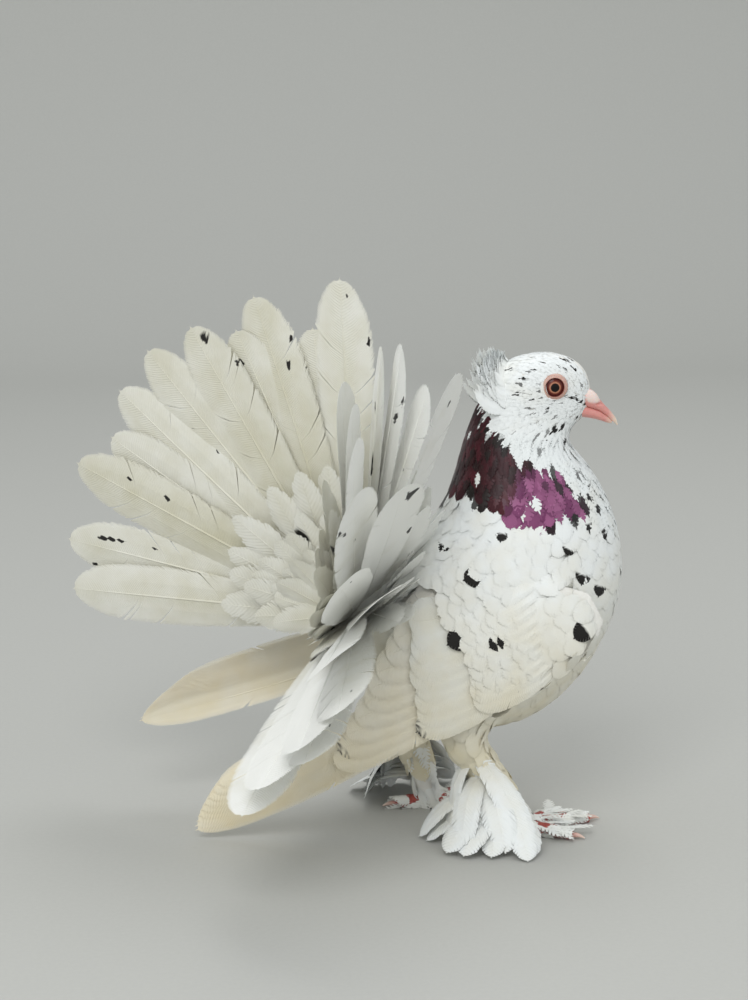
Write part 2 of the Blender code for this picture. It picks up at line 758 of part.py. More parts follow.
def make_bill(finish):
    """The two halves of the bill. The upper half carries the soft cere over the nostrils."""
    upper = bill_half("bill_upper", UPPER_BILL, -1, finish)
    join(upper, on_both_sides("cere", CERE, CERE_RADII))
    lower = bill_half("bill_lower", LOWER_BILL, 1, finish)
    cut(lower, [swollen(upper, SEAT)])
    return upper, lower


def leg_line(foot, heel):
    """The middle line of the shank, from the heel to over the toes."""
    return np.array(heel), np.array([foot[0] - 3, foot[1], 13.0])


def cut_nostrils(upper):
    """The slit of each nostril, under the cere."""
    cut(upper, on_both_sides("nostril", NOSTRIL, NOSTRIL_RADII))


def make_leg(name, foot, heel, hip, torso, finish):
    """The feathered thigh, from the belly to the heel, where it ends in a flat face."""
    heel, ankle = leg_line(foot, heel)
    down = unit(ankle - heel)
    end = heel - down * GAP
    knee = end - down * 14 + np.array([5.0, 0, 6.0])
    hip = np.array([hip[0], hip[1], HIP_HEIGHT])
    path = (hip, (hip + knee) / 2 + np.array([0, 0, 2.0]), knee, end - down * 5, end)
    leg = tube(name, path, THIGH_RADII, 14, finish, end_axis=down)
    cut(leg, [swollen(torso, SEAT)])
    return leg


def toe_heading(foot, heading, turn):
    """The level direction of a toe, turned outwards from straight ahead."""
    a = math.radians(heading + turn)
    return np.array([math.cos(a), math.copysign(1, foot[1]) * math.sin(a), 0.0])


def toe_path(foot, heading, length, turn):
    """The middle line of a toe, from under the shank to its last joint."""
    ahead = toe_heading(foot, heading, turn)
    start = np.array([foot[0], foot[1], 0.0])
    return [start + ahead * length * t + np.array([0, 0, h]) for t, h in TOE_HEIGHTS]


def make_foot(name, foot, heel, turn, muff, finish, draw):
    """A foot: the shank, the toes on their flat pads, and the long feathers that grow from them."""
    x, y = foot
    side = math.copysign(1, y)
    heel, ankle = leg_line(foot, heel)
    down = unit(ankle - heel)
    path = (heel, heel + down * 14, ankle, np.array([x + 1, y, 7.0]))
    base = tube(name, path, SHANK_RADII, 12, finish, start_axis=down, floor=0.6)
    pieces = []
    for i, (heading, length) in enumerate(TOES):
        path = toe_path(foot, heading, length, turn)
        end = toe_heading(foot, heading, turn)
        pieces.append(tube(f"{name} toe {i}", path, TOE_RADII, 8, floor=0.0, end_axis=end))
    for i in range(FOOT_FEATHERS):
        share = i / (FOOT_FEATHERS - 1)
        heading = math.radians(muff[0] + (muff[1] - muff[0]) * share)
        ahead = np.array([math.cos(heading), side * math.sin(heading), 0])
        across = np.array([-ahead[1], ahead[0], 0])
        high = i % 2
        lift = 0.25 + 0.45 * high + 0.15 * share
        start = ankle + (heel - ankle) * lift
        reach = 43 + 6 * math.sin(math.pi * share) + draw.uniform(-3, 3)
        end = np.array([x - 2, y, 1.4 + 1.6 * high]) + ahead * reach
        stations = []
        for t, wide in ((0.06, 0.35), (0.4, 0.9), (0.75, 1.0), (1.0, 0.35)):
            bow = np.array([0, 0, 5.0 * math.sin(math.pi * t)])
            middle = start + (end - start) * t + bow + ahead * 4 * math.sin(math.pi * t)
            out = unit(np.cross(across, end - start))
            out = out if out[2] > 0 else -out
            half = (8 + 1.5 * high) * wide
            stations.append((middle, across, out, half, half, 0.7))
        pieces.append(plain_vane(f"{name} feather {i}", stations))
    join(base, pieces)
    return base


def make_claws(name, foot, turn, finish):
    """The four claws of a foot, each just clear of its toe."""
    made = []
    for i, (heading, length) in enumerate(TOES):
        ahead = toe_heading(foot, heading, turn)
        end = toe_path(foot, heading, length, turn)[-1] + ahead * GAP
        path = [end, end + ahead * 3.2 + np.array([0, 0, -0.1]), end + ahead * 6.8 + np.array([0, 0, -1.4])]
        made.append(tube(f"{name}_{i + 1}", path, CLAW_RADII, 6, finish, floor=0.2, start_axis=ahead))
    return made


def place_on_origin():
    """Moves the bird so that the origin is the middle of its base, and turns millimetres into metres."""
    shown = [o for o in bpy.context.scene.collection.objects if o.type == "MESH"]
    corners = np.array([v.co for o in shown for v in o.data.vertices])
    low, high = corners.min(axis=0), corners.max(axis=0)
    shift = np.array([(low[0] + high[0]) / 2, (low[1] + high[1]) / 2, low[2]])
    print("moved by", shift, "box", high - low)
    for obj in shown:
        points = (np.array([v.co for v in obj.data.vertices]) - shift) * MM
        obj.data.vertices.foreach_set("co", points.ravel())
        obj.data.shade_smooth()
        obj.data.set_sharp_from_angle(angle=math.radians(40))


def main():
    clear_scene()
    draw = random.Random(11)
    white = material("white plumage", WHITE, 0.6)
    plum = material("neck plumage", PLUM, 0.45)
    bill = material("bill horn", BILL_PINK, 0.4)
    toe = material("scaly foot", FOOT_RED, 0.5)
    claw = material("claw horn", CLAW_PINK, 0.4)
    iris = material("eye", IRIS, 0.1)

    torso = body_piece("torso", TAIL_CUT, NECK_CUT, 17, white, gap=GAP)
    body_piece("neck", NECK_CUT, HEAD_CUT, 8, plum, gap=GAP)
    head = make_head(white)
    upper, lower = make_bill(bill)
    cut(head, [swollen(upper, SEAT), swollen(lower, SEAT)])
    cut_nostrils(upper)
    for side, name in ((-1, "eye_right"), (1, "eye_left")):
        eyeball(name, (EYE[0], side * EYE[1], EYE[2]), finish=iris)

    make_tail(torso, white)
    make_wing("wing_right", (RIGHT_WRIST, RIGHT_TIP), 3.6, torso, white, draw)
    make_wing("wing_left", (LEFT_WRIST, LEFT_TIP), 2.0, torso, white, draw)
    make_leg("leg_right", RIGHT_FOOT, RIGHT_HEEL, (0.0, -20.0), torso, white)
    make_leg("leg_left", LEFT_FOOT, LEFT_HEEL, (-14.0, 20.0), torso, white)
    make_foot("foot_right", RIGHT_FOOT, RIGHT_HEEL, 0.0, (84, 205), toe, draw)
    make_foot("foot_left", LEFT_FOOT, LEFT_HEEL, 10.0, (60, 160), toe, draw)
    make_claws("claw_right", RIGHT_FOOT, 0.0, claw)
    make_claws("claw_left", LEFT_FOOT, 10.0, claw)
    place_on_origin()


main()
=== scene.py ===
# %% [markdown]
# # A fantail pigeon, feather by feather
# This lesson dresses a plain model of a fantail pigeon. The plain model, called the frame, holds the
# size and the place of every part. We load it first, and then lay a skin, thousands of feathers, eyes,
# a bill and feet over it. Each cell makes one thing and prints what it made.

# %% Load the frame
import math
import random

import bmesh
import bpy
import numpy as np
from mathutils import Matrix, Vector
from mathutils.kdtree import KDTree


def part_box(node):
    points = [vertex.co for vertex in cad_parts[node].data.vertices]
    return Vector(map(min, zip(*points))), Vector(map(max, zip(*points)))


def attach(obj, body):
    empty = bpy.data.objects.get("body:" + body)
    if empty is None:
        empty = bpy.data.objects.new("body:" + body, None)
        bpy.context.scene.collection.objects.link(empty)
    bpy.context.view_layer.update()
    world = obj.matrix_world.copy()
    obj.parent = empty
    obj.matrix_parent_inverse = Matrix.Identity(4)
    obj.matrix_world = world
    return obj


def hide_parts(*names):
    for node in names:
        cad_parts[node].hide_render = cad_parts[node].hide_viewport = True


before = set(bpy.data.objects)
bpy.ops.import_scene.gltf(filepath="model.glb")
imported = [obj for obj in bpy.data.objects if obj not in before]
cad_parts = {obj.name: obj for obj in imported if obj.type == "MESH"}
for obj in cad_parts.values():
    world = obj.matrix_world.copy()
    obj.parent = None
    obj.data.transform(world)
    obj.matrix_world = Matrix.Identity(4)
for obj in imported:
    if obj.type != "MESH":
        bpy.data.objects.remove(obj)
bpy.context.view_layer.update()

# %% [markdown]
# ## The bird's own millimetres
# A bird is easiest to describe from the floor between its feet: x runs forward, y to its left and z up,
# in millimetres. The frame has its origin somewhere else, so we find the shift between the two from one
# thing that we know in both: the middle of the right eye. Later cells work in the bird's millimetres, and
# `placed` turns them into the frame's metres.

# %% Tie the bird's millimetres to the frame
MM = 0.001
EYE = np.array([27.8, 10.5, 232.0])  # middle of the left eyeball
eye_low, eye_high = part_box("eye_right")
SHIFT = EYE * (1, -1, 1) - (np.array(eye_low) + np.array(eye_high)) / 2 / MM


def placed(points):
    """Points in the bird's millimetres, as metres in the frame."""
    return (np.asarray(points, float) - SHIFT) * MM


def unit(vectors):
    """Each vector at length one."""
    vectors = np.asarray(vectors, float)
    return vectors / np.maximum(np.linalg.norm(vectors, axis=-1, keepdims=True), 1e-9)


print("shift in millimetres", SHIFT.round(2))

# %% [markdown]
# ## The camera
# The picture was taken from the bird's right side, a little from behind and a little from above, with a
# lens longer than normal. We place the camera by the two angles of its view and by the point where it
# stands, so that nothing needs to be aimed by eye.

# %% Place the camera
VIEW_TURN, VIEW_LIFT = math.radians(-6), math.radians(12)
CAMERA_STAND = (-194.07, -1249.91, 440.07)
FOCAL_LENGTH = 90.3  # millimetres, on a sensor 36 mm high

to_camera = np.array([
    math.sin(VIEW_TURN) * math.cos(VIEW_LIFT),
    -math.cos(VIEW_TURN) * math.cos(VIEW_LIFT),
    math.sin(VIEW_LIFT),
])
to_right = np.array([math.cos(VIEW_TURN), math.sin(VIEW_TURN), 0.0])
to_top = np.cross(to_camera, to_right)


def new_object(name, data):
    """An object in the scene."""
    obj = bpy.data.objects.new(name, data)
    bpy.context.scene.collection.objects.link(obj)
    return obj


def stand(obj, right, top, back, place):
    """Stands an object at a place in metres, turned by where its right, top and back point."""
    grid = np.eye(4)
    grid[:3] = np.column_stack([right, top, back, place])
    obj.matrix_world = Matrix(grid.tolist())


camera_data = bpy.data.cameras.new("camera")
camera_data.lens = FOCAL_LENGTH
camera_data.sensor_width = 36.0
camera = new_object("camera", camera_data)
stand(camera, to_right, to_top, to_camera, placed(CAMERA_STAND))
bpy.context.scene.camera = camera
print("camera at", placed(CAMERA_STAND).round(3))

# %% [markdown]
# ## Colours and material nodes
# People pick colours on a screen, which stores them as sRGB. A renderer adds light, so it needs linear
# numbers. One function turns the first into the second. A second function adds one node to a material,
# sets it and links it, which keeps every recipe below short enough to read.

# %% The helpers for every finish


def paint(hex_text):
    """An sRGB hex colour as the linear colour that a renderer uses."""
    shares = [int(hex_text[i:i + 2], 16) / 255 for i in (1, 3, 5)]
    linear = [c / 12.92 if c <= 0.04045 else ((c + 0.055) / 1.055) ** 2.4 for c in shares]
    return (*linear, 1.0)


def add(tree, kind, settings=None, links=None):
    """Adds a node, gives it its settings, and links other sockets into its inputs."""
    node = tree.nodes.new("ShaderNode" + kind)
    for key, value in (settings or {}).items():
        if isinstance(key, str) and hasattr(node, key):
            setattr(node, key, value)
        else:
            node.inputs[key].default_value = value
    for key, socket in (links or {}).items():
        tree.links.new(socket, node.inputs[key])
    return node


def new_finish(name, settings):
    """A material with its shader set, and its node tree."""
    made = bpy.data.materials.new(name)
    made.use_nodes = True
    shader = made.node_tree.nodes["Principled BSDF"]
    for key, value in settings.items():
        shader.inputs[key].default_value = value
    return made, made.node_tree, shader


BLEND = {"data_type": "RGBA"}  # a Mix node that goes from the colour in input 6 to that in input 7
print("white in linear light is", paint("#ffffff")[:3], "and middle grey", round(paint("#808080")[0], 3))

# %% [markdown]
# ## Feather keratin
# A feather is keratin, the stuff of nails, grown as a shaft with hundreds of barbs. White feathers have
# no pigment: their foam of tiny bubbles scatters light, so they look soft, shine very little and let
# some light through. The black spots are melanin. The neck is plum because thin layers in its barbules
# play with light, so it is glossier than the white. One recipe can show them all, because each feather's
# mesh carries numbers that say how creamy it is with painted shade and painted light mixed in, how dark,
# how plum, and how much painted iridescent sheen it has.

# %% The plumage finish
BARBULE_MM = 0.45  # real barbules are 0.03 mm apart, drawn coarser so that they show
CLOUD_MM = 14.0  # how wide the faint creamy clouds in the white are


def make_plumage(name, white, cream_and_shade, gloss, roughness):
    """Feathers whose colour follows the numbers that their mesh carries."""
    made, tree, shader = new_finish(name, {
        "Roughness": roughness,
        "IOR": 1.54,
        "Specular IOR Level": gloss,
        "Sheen Weight": 0.08,
        "Sheen Roughness": 0.45,
    })
    number = {
        key: add(tree, "Attribute", {"attribute_name": key}).outputs["Fac"]
        for key in ("cream_and_shade", "dark", "plum", "painted_sheen", "pick")
    }
    pick = number["pick"]
    place = add(tree, "TexCoord").outputs["Object"]
    clouds = add(tree, "TexNoise", {"Scale": 1 / (CLOUD_MM * MM), "Detail": 3.0}, {"Vector": place})
    soft = add(tree, "MapRange", {1: 0.3, 2: 0.7, 3: -0.12, 4: 0.12}, {0: clouds.outputs["Fac"]}).outputs[0]
    # The cream number mixes the feathers' own cream tone with painted shade and painted light.
    cream_and_shade_mix = add(tree, "Math", {"operation": "ADD", "use_clamp": True}, {0: number["cream_and_shade"], 1: soft})
    grey = add(tree, "Math", {"operation": "MULTIPLY", 1: 0.06}, {0: pick})
    base = add(tree, "Mix", {**BLEND, 6: paint(white), 7: paint(cream_and_shade)}, {0: cream_and_shade_mix.outputs[0]}).outputs[2]
    base = add(tree, "Mix", {**BLEND, 7: paint("#b9bcb8")}, {0: grey.outputs[0], 6: base}).outputs[2]
    wine = add(tree, "Mix", {**BLEND, 6: paint("#1e0308"), 7: paint("#4c0c1c")}, {0: pick}).outputs[2]
    # The bright orchid is a painted iridescent sheen, set by the place on the neck.
    painted_sheen_orchid = add(tree, "Mix", {**BLEND, 6: paint("#6c2b58"), 7: paint("#a3608a")}, {0: pick}).outputs[2]
    plum = add(tree, "Mix", BLEND, {0: number["painted_sheen"], 6: wine, 7: painted_sheen_orchid}).outputs[2]
    base = add(tree, "Mix", BLEND, {0: number["plum"], 6: base, 7: plum}).outputs[2]
    base = add(tree, "Mix", {**BLEND, 7: paint("#15120f")}, {0: number["dark"], 6: base}).outputs[2]
    tree.links.new(base, shader.inputs["Base Color"])
    grain = add(tree, "TexNoise", {"Scale": 1 / (BARBULE_MM * MM), "Detail": 2.0}, {"Vector": place})
    bump = add(tree, "Bump", {"Strength": 0.35, "Distance": 0.15 * MM}, {"Height": grain.outputs["Fac"]})
    tree.links.new(bump.outputs[0], shader.inputs["Normal"])
    return made


body_plumage = make_plumage("white contour feathers", "#f0f3f2", "#dccfa8", 0.30, 0.65)
quill_plumage = make_plumage("white flight feathers", "#f6f5ef", "#eadcb6", 0.35, 0.55)
tail_plumage = make_plumage("white tail feathers", "#f2f2ed", "#c4be9e", 0.35, 0.55)
neck_plumage = make_plumage("glossy neck feathers", "#eef2f1", "#dccfa8", 0.38, 0.36)
print("plumage finishes made")

# %% [markdown]
# ## Where the skin lies
# The body is one smooth form from the root of the tail to the crown. It is described by rings: each row
# below has the ring's back point, its front point, its half width and its taper, in millimetres. A
# smooth curve through the rows gives a ring at any place `s`, and an angle gives a point on the ring.
# The frame was built from the same numbers, so the feathers fit it.

# %% The form of the body
BODY = np.array((
    (-90, 114, -89, 104, 5.0, 0.0),
    (-84, 121, -83, 95, 12.0, 0.0),
    (-74, 126, -72, 86, 18.0, 0.0),
    (-62, 133, -57, 73, 26.0, 0.0),
    (-49, 143, -36, 60, 35.0, 0.0),
    (-39, 153, -8, 51, 42.0, 0.0),
    (-34, 160, 18, 56, 45.0, 0.0),
    (-30, 166, 41, 73, 45.5, 0.05),
    (-27, 171, 57, 97, 43.5, 0.08),
    (-25, 176, 65.5, 121, 40.0, 0.10),
    (-23, 182, 66.5, 143, 35.5, 0.08),
    (-21, 189, 62, 163, 31.0, 0.05),
    (-19, 197, 54.5, 179, 27.0, 0.03),
    (-17, 205, 46, 192, 23.5, 0.03),
    (-14.5, 212, 39, 201, 20.5, 0.06),
    (-11.5, 219, 39.5, 208.5, 17.5, 0.14),
    (-8.5, 226, 46, 214, 16.0, 0.30),
    (-6, 232, 49.5, 221.5, 15.4, 0.36),
    (-3, 237.5, 49.8, 229, 14.8, 0.32),
    (1.5, 242, 47.8, 236.5, 13.2, 0.24),
    (8, 245.3, 43.6, 242, 10.5, 0.16),
    (16, 247.4, 37, 245.8, 6.5, 0.08),
    (23, 248.2, 30, 247.9, 2.0, 0.0),
))
LAST = len(BODY) - 1.0


def between(rows, places):
    """The rows of a table at places that may lie between them, smoothly. Place 0 is its first row."""
    i = np.minimum(places.astype(int), len(rows) - 2)
    t = (places - i)[..., None]
    before, a = rows[np.maximum(i - 1, 0)], rows[i]
    b, after = rows[i + 1], rows[np.minimum(i + 2, len(rows) - 1)]
    return 0.5 * (
        2 * a + (b - before) * t + (2 * before - 5 * a + 4 * b - after) * t**2
        + (3 * a - before - 3 * b + after) * t**3
    )


def body_place(s, turn, swell=0.0):
    """Points of the body. The turn is 0 at the front and pi at the back."""
    row = between(BODY, np.clip(np.asarray(s, float), 0, LAST))
    zero = np.zeros(row.shape[:-1])
    back = np.stack([row[..., 0], zero, row[..., 1]], -1)
    front = np.stack([row[..., 2], zero, row[..., 3]], -1)
    reach = np.linalg.norm(front - back, axis=-1) / 2
    reach_out = np.maximum(reach + swell, 0.4) * np.cos(turn)
    wide = np.maximum(row[..., 4] + swell, 0.4) * (1 - row[..., 5] * np.cos(turn)) * np.sin(turn)
    place = (back + front) / 2 + unit(front - back) * reach_out[..., None]
    place[..., 1] += wide
    return place


def coat_depth(s):
    """How far the skin lies under the tips of the coat."""
    return np.interp(s, (0, 3, 10, 13, 15, 22), (2.4, 3.4, 3.2, 2.4, 1.3, 1.0))


print("body from", body_place(np.array([0.0]), np.array([0.0]))[0].round(1), "to the crown")

# %% [markdown]
# ## Where the wings lie
# A folded wing is a gently curved sheet. A point on it is described by u, from the wrist towards the
# wing tip, by v, across the wing towards the back, and by h, how far it stands off the sheet. Every quill
# and covert is drawn flat in u and v, and the sheet bends it.

# %% The form of a folded wing
WINGS = {
    "right": (np.array([43.0, -51.0, 116.0]), np.array([-157.0, -24.0, 7.0])),
    "left": (np.array([43.0, 51.0, 116.0]), np.array([-183.0, 50.0, 48.0])),
}
PRIMARY_SPREAD = {"right": 3.6, "left": 2.0}


def wing_axes(wing):
    """The wing's own directions: along it, across it towards the back, and out of its side."""
    wrist, tip = WINGS[wing]
    along = unit(tip - wrist)
    flat = unit([along[2], 0.0, -along[0]])
    flat = flat if flat[2] > 0 else -flat
    across = unit(flat - along * np.dot(flat, along))
    out = np.cross(along, across)
    return along, across, out if out[1] * wrist[1] > 0 else -out


def wing_sheet(wing, u, v):
    """Points on the sheet of a wing."""
    wrist, tip = WINGS[wing]
    along, across, out = wing_axes(wing)
    share = np.clip(u / np.linalg.norm(tip - wrist), 0, 1)
    wrap = 30.0 * (1 - share) + 4.0
    upper = np.maximum(0.0, v - 6.0) / 60.0
    lower = np.maximum(0.0, -v - 2.0) / 20.0
    nose = np.maximum(0.0, 22.0 - u) / 30.0
    side = -wrap * upper**2 - 3.0 * lower**2 - 9.0 * nose**2 + 5.0 * np.sin(math.pi * share)
    return wrist + u[..., None] * along + v[..., None] * across + side[..., None] * out


def wing_place(wing, u, v, h):
    """Points that stand h off the sheet of a wing."""
    u, v, h = np.broadcast_arrays(*(np.asarray(n, float) for n in (u, v, h)))
    across = wing_sheet(wing, u, v + 1) - wing_sheet(wing, u, v - 1)
    along = wing_sheet(wing, u + 1, v) - wing_sheet(wing, u - 1, v)
    out = unit(np.cross(along, across))
    sign = np.sign(out @ wing_axes(wing)[2])[..., None]
    return wing_sheet(wing, u, v) + out * sign * h[..., None]


print("right wing is", round(float(np.linalg.norm(WINGS["right"][1] - WINGS["right"][0]))), "mm long")

# %% [markdown]
# ## The legs and toes
# A pigeon stands on its toes. Its heel is the joint that looks like a backward knee, and the shank runs
# from there down to the toes. This breed has feathered feet, so the shank is hidden, but everything that
# grows on it needs to know where it is.

# %% The form of the legs
FEET = {
    # side: (foot x and y, heel, hip, how far the foot turns out, headings of its foot feathers)
    "right": (np.array([10.0, -25.0]), np.array([-15.0, -25.0, 46.0]), (0.0, -20.0), 0.0, (84, 205)),
    "left": (np.array([-30.0, 22.0]), np.array([-42.0, 22.0, 47.0]), (-14.0, 20.0), 10.0, (60, 160)),
}
TOES = ((-40, 32.0), (-18, 41.0), (26, 29.0), (172, 19.0))  # heading outwards from ahead, and length
HIP_HEIGHT = 76.0
ANKLE_HEIGHT = 13.0


def ankle_of(side):
    """The low end of the shank, over the toes."""
    foot = FEET[side][0]
    return np.array([foot[0] - 3, foot[1], ANKLE_HEIGHT])


def thigh_line(side):
    """The middle line of the thigh, from the hip to the heel."""
    heel, hip = FEET[side][1], FEET[side][2]
    down = unit(ankle_of(side) - heel)
    end = heel - down * 0.3
    knee = end - down * 14 + np.array([5.0, 0, 6.0])
    top = np.array([hip[0], hip[1], HIP_HEIGHT])
    return np.array([top, (top + knee) / 2 + np.array([0, 0, 2.0]), knee, end - down * 5, end])


def toe_heading(side, heading):
    """The level direction of a toe."""
    angle = math.radians(heading + FEET[side][3])
    outward = math.copysign(1, FEET[side][0][1])
    return np.array([math.cos(angle), outward * math.sin(angle), 0.0])


def toe_line(side, heading, length):
    """The middle line of a toe, from under the shank to its last joint."""
    foot, ahead = FEET[side][0], toe_heading(side, heading)
    start = np.array([foot[0], foot[1], 0.0])
    rises = ((0, 7.0), (0.3, 3.6), (0.65, 3.2), (1.0, 2.2))
    return np.array([start + ahead * length * t + np.array([0, 0, h]) for t, h in rises])


def smooth_line(points, count):
    """A line through the points with more of them, smoothly."""
    return between(np.asarray(points, float), np.linspace(0, len(points) - 1, count))


print("heels at", FEET["right"][1], "and", FEET["left"][1])

# %% [markdown]
# ## From numbers to a mesh
# Blender can build a mesh from long lists much faster than face by face, if the lists are handed over
# whole. This helper does that for triangles, and stores the extra numbers that the finishes read. It
# also writes the map named OFBake, which gives each feather its own place in a flat map.

# %% The mesh helper


def corners_of(points, triangles):
    """The places of the first, second and third corners of the triangles."""
    return (points[triangles[:, i]] for i in range(3))


def make_piece(name, points, triangles, finish, numbers=None, uv=None, smooth=True, normals=None):
    """A mesh object from points in the bird's millimetres, riding on the bird. Normals, one for each
    point, say which way the surface seems to face."""
    points, triangles = np.asarray(points, float), np.asarray(triangles, np.int32)
    if normals is not None:  # a triangle that faces against its normals would look black
        a, b, c = corners_of(points, triangles)
        against = np.sum(np.cross(b - a, c - a) * normals[triangles].sum(1), -1) < 0
        triangles = np.where(against[:, None], triangles[:, ::-1], triangles)
    mesh = bpy.data.meshes.new(name)
    mesh.vertices.add(len(points))
    mesh.vertices.foreach_set("co", placed(points).astype(np.float32).ravel())
    mesh.loops.add(len(triangles) * 3)
    mesh.loops.foreach_set("vertex_index", triangles.ravel())
    mesh.polygons.add(len(triangles))
    mesh.polygons.foreach_set("loop_start", np.arange(0, len(triangles) * 3, 3, dtype=np.int32))
    for key, values in (numbers or {}).items():
        layer = mesh.attributes.new(key, "FLOAT", "POINT")
        layer.data.foreach_set("value", np.asarray(values, np.float32))
    if uv is not None:
        layer = mesh.uv_layers.new(name="OFBake")
        layer.uv.foreach_set("vector", np.asarray(uv, np.float32)[triangles.ravel()].ravel())
    mesh.update(calc_edges=True)
    mesh.polygons.foreach_set("use_smooth", np.full(len(triangles), smooth or normals is not None))
    if normals is not None:
        mesh.normals_split_custom_set_from_vertices(normals.tolist())
    obj = new_object(name, mesh)
    mesh.materials.append(finish)
    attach(obj, "root")
    print(name, len(triangles), "triangles")
    return obj


print("the mesh helper is ready")

# %% [markdown]
# ## Rings and tubes
# Many parts are closed skins over rings of points: tubes for legs and toes, a dome for the eye, a loft for
# the bill. These helpers turn rings into triangles and tubes, and join several forms into one.

# %% Rings and tubes
UP = np.array([0.0, 0.0, 1.0])


def round_turn(sides):
    """Angles that share out a full turn evenly."""
    return np.linspace(0, 2 * math.pi, sides, endpoint=False)


def tube_skin(line, radii, sides=12, floor=None):
    """Points and triangles of a closed tapered tube, held above a floor."""
    line, radii = np.asarray(line, float), np.asarray(radii, float)
    ahead = unit(np.gradient(line, axis=0))
    side = unit(np.cross(ahead[0], UP if abs(ahead[0][2]) < 0.8 else (1.0, 0, 0)))
    turn = round_turn(sides) + math.pi / sides
    rings = []
    for here, onward, radius in zip(line, ahead, radii):
        side = unit(side - onward * np.dot(side, onward))
        up = np.cross(side, onward)
        rings.append(here + radius * (np.cos(turn)[:, None] * side + np.sin(turn)[:, None] * up))
    points = np.concatenate(rings)
    if floor is not None:
        points[:, 2] = np.maximum(points[:, 2], floor)
    return points, ring_triangles(len(line), sides)[:, ::-1]


def ring_triangles(rings, sides):
    """Triangles of a closed skin over rings of points, with its two ends filled."""
    r, k = np.meshgrid(np.arange(rings - 1), np.arange(sides), indexing="ij")
    a, b = (r * sides + k).ravel(), (r * sides + (k + 1) % sides).ravel()
    walls = np.concatenate([np.stack([a, b, b + sides], 1), np.stack([a, b + sides, a + sides], 1)])
    k = np.arange(1, sides - 1)
    first = np.stack([0 * k, k + 1, k], 1)
    last = np.stack([0 * k, k, k + 1], 1) + (rings - 1) * sides
    return np.concatenate([walls, first, last])


def joined(forms):
    """Several forms of points and triangles as one."""
    points, triangles, count = [], [], 0
    for form_points, form_triangles in forms:
        points.append(form_points)
        triangles.append(form_triangles + count)
        count += len(form_points)
    return np.concatenate(points), np.concatenate(triangles)


print("a closed tube of 3 rings with 4 sides has", len(ring_triangles(3, 4)), "triangles")

# %% [markdown]
# ## The plum patch of the neck
# The patch is a shape in side view. Two lines bound it: a front edge that runs down and forward from the
# nape, and a lower edge that is nearly level. Its lower front is painted bright orchid, a painted
# iridescent sheen, and the rest dark wine.

# %% Bound the patch


def plum_share(points):
    """How far points lie inside the plum patch of the neck: below 0 outside and above 0 inside, in mm."""
    x, z = points[..., 0], points[..., 2]
    front_edge = np.interp(
        z, (157, 164, 171, 177, 180, 187, 189, 192, 196, 201, 209, 218, 226),
        (34, 39, 43, 37, 32, 30, 22, 15, 8, 1, -4, -7, -8),
    )
    low_edge = np.interp(x, (-26, -17, -7, 0, 6, 17, 30, 45), (171, 174, 173, 168, 163, 162, 165, 168))
    return np.minimum(np.minimum(front_edge - x, z - low_edge), 226 - z)


def painted_sheen_share(points):
    """Where the patch turns from dark wine to a painted iridescent sheen of bright orchid: low and towards
    the front.
    """
    x, z = points[..., 0], points[..., 2]
    return np.clip((x + 8 - 0.5 * (z - 160)) / 5, 0, 1) * np.clip((193 - z) / 4, 0, 1)


print("the middle of the neck lies", plum_share(np.array([0.0, 0.0, 185.0])), "mm inside the patch")

# %% [markdown]
# ## The skin
# Under the feathers a bird has thin skin over muscle. Here it closes the gaps between feathers. Body,
# thighs and the flesh of the wings are drawn as closed forms, a little smaller than the feathered bird,
# and a voxel remesh fuses them with no seam.

# %% Fuse the skin


def body_form():
    """The closed form of the body under the coat."""
    places = np.concatenate([np.linspace(0, 14, 60), np.linspace(14.1, LAST, 50)])
    s, turn = np.meshgrid(places, round_turn(64), indexing="ij")
    return body_place(s, turn, -coat_depth(s)).reshape(-1, 3), ring_triangles(*s.shape)


def wing_flesh(wing):
    """The flesh of a folded wing, from the wrist to the middle of the forearm."""
    outline = ((-7, -4, 14), (4, -12, 26), (22, -15, 40), (44, -16, 54), (68, -15, 60), (86, -11, 48))
    columns = np.linspace(0, 1, 9)
    rings = []
    for u, low, high in smooth_line(outline, 16):
        edge = np.abs(2 * columns - 1) ** 3
        across = low + (high - low) * columns
        outer = wing_place(wing, u, across, -2.4 - edge)
        inner = wing_place(wing, u, across, -8.0 + edge)
        rings.append(np.concatenate([outer, inner[::-1]]))
    return np.concatenate(rings), ring_triangles(len(rings), len(rings[0]))


def thigh_form(side):
    """A thigh under its feathers, with the shank below it."""
    shank = np.array([FEET[side][1], ankle_of(side), [*FEET[side][0], 6.0]])
    line = np.concatenate([smooth_line(thigh_line(side), 14), smooth_line(shank, 8)[1:]])
    radii = np.concatenate([np.interp(np.linspace(0, 1, 14), (0, 0.5, 1), (12, 12, 8)), np.linspace(7, 4, 7)])
    return tube_skin(line, radii, 20)


VOXEL_MM = 1.5  # how fine the fused skin is
points, triangles = joined((
    body_form(), wing_flesh("right"), wing_flesh("left"), thigh_form("right"), thigh_form("left"),
))
rough = bpy.data.meshes.new("rough")
rough.from_pydata(placed(points).tolist(), [], triangles.tolist())
form = bmesh.new()
form.from_mesh(rough)
bmesh.ops.recalc_face_normals(form, faces=form.faces)
form.to_mesh(rough)
form.free()
holder = new_object("rough", rough)
remesh = holder.modifiers.new("fuse", "REMESH")
remesh.mode, remesh.voxel_size = "VOXEL", VOXEL_MM * MM
relax = holder.modifiers.new("relax", "SMOOTH")
relax.iterations = 3
fused = bpy.data.meshes.new_from_object(holder.evaluated_get(bpy.context.evaluated_depsgraph_get()))
bpy.data.objects.remove(holder)
bpy.data.meshes.remove(rough)
fused.calc_loop_triangles()
skin_points = np.array([v.co for v in fused.vertices]) / MM + SHIFT
skin_triangles = np.array([t.vertices for t in fused.loop_triangles])
bpy.data.meshes.remove(fused)

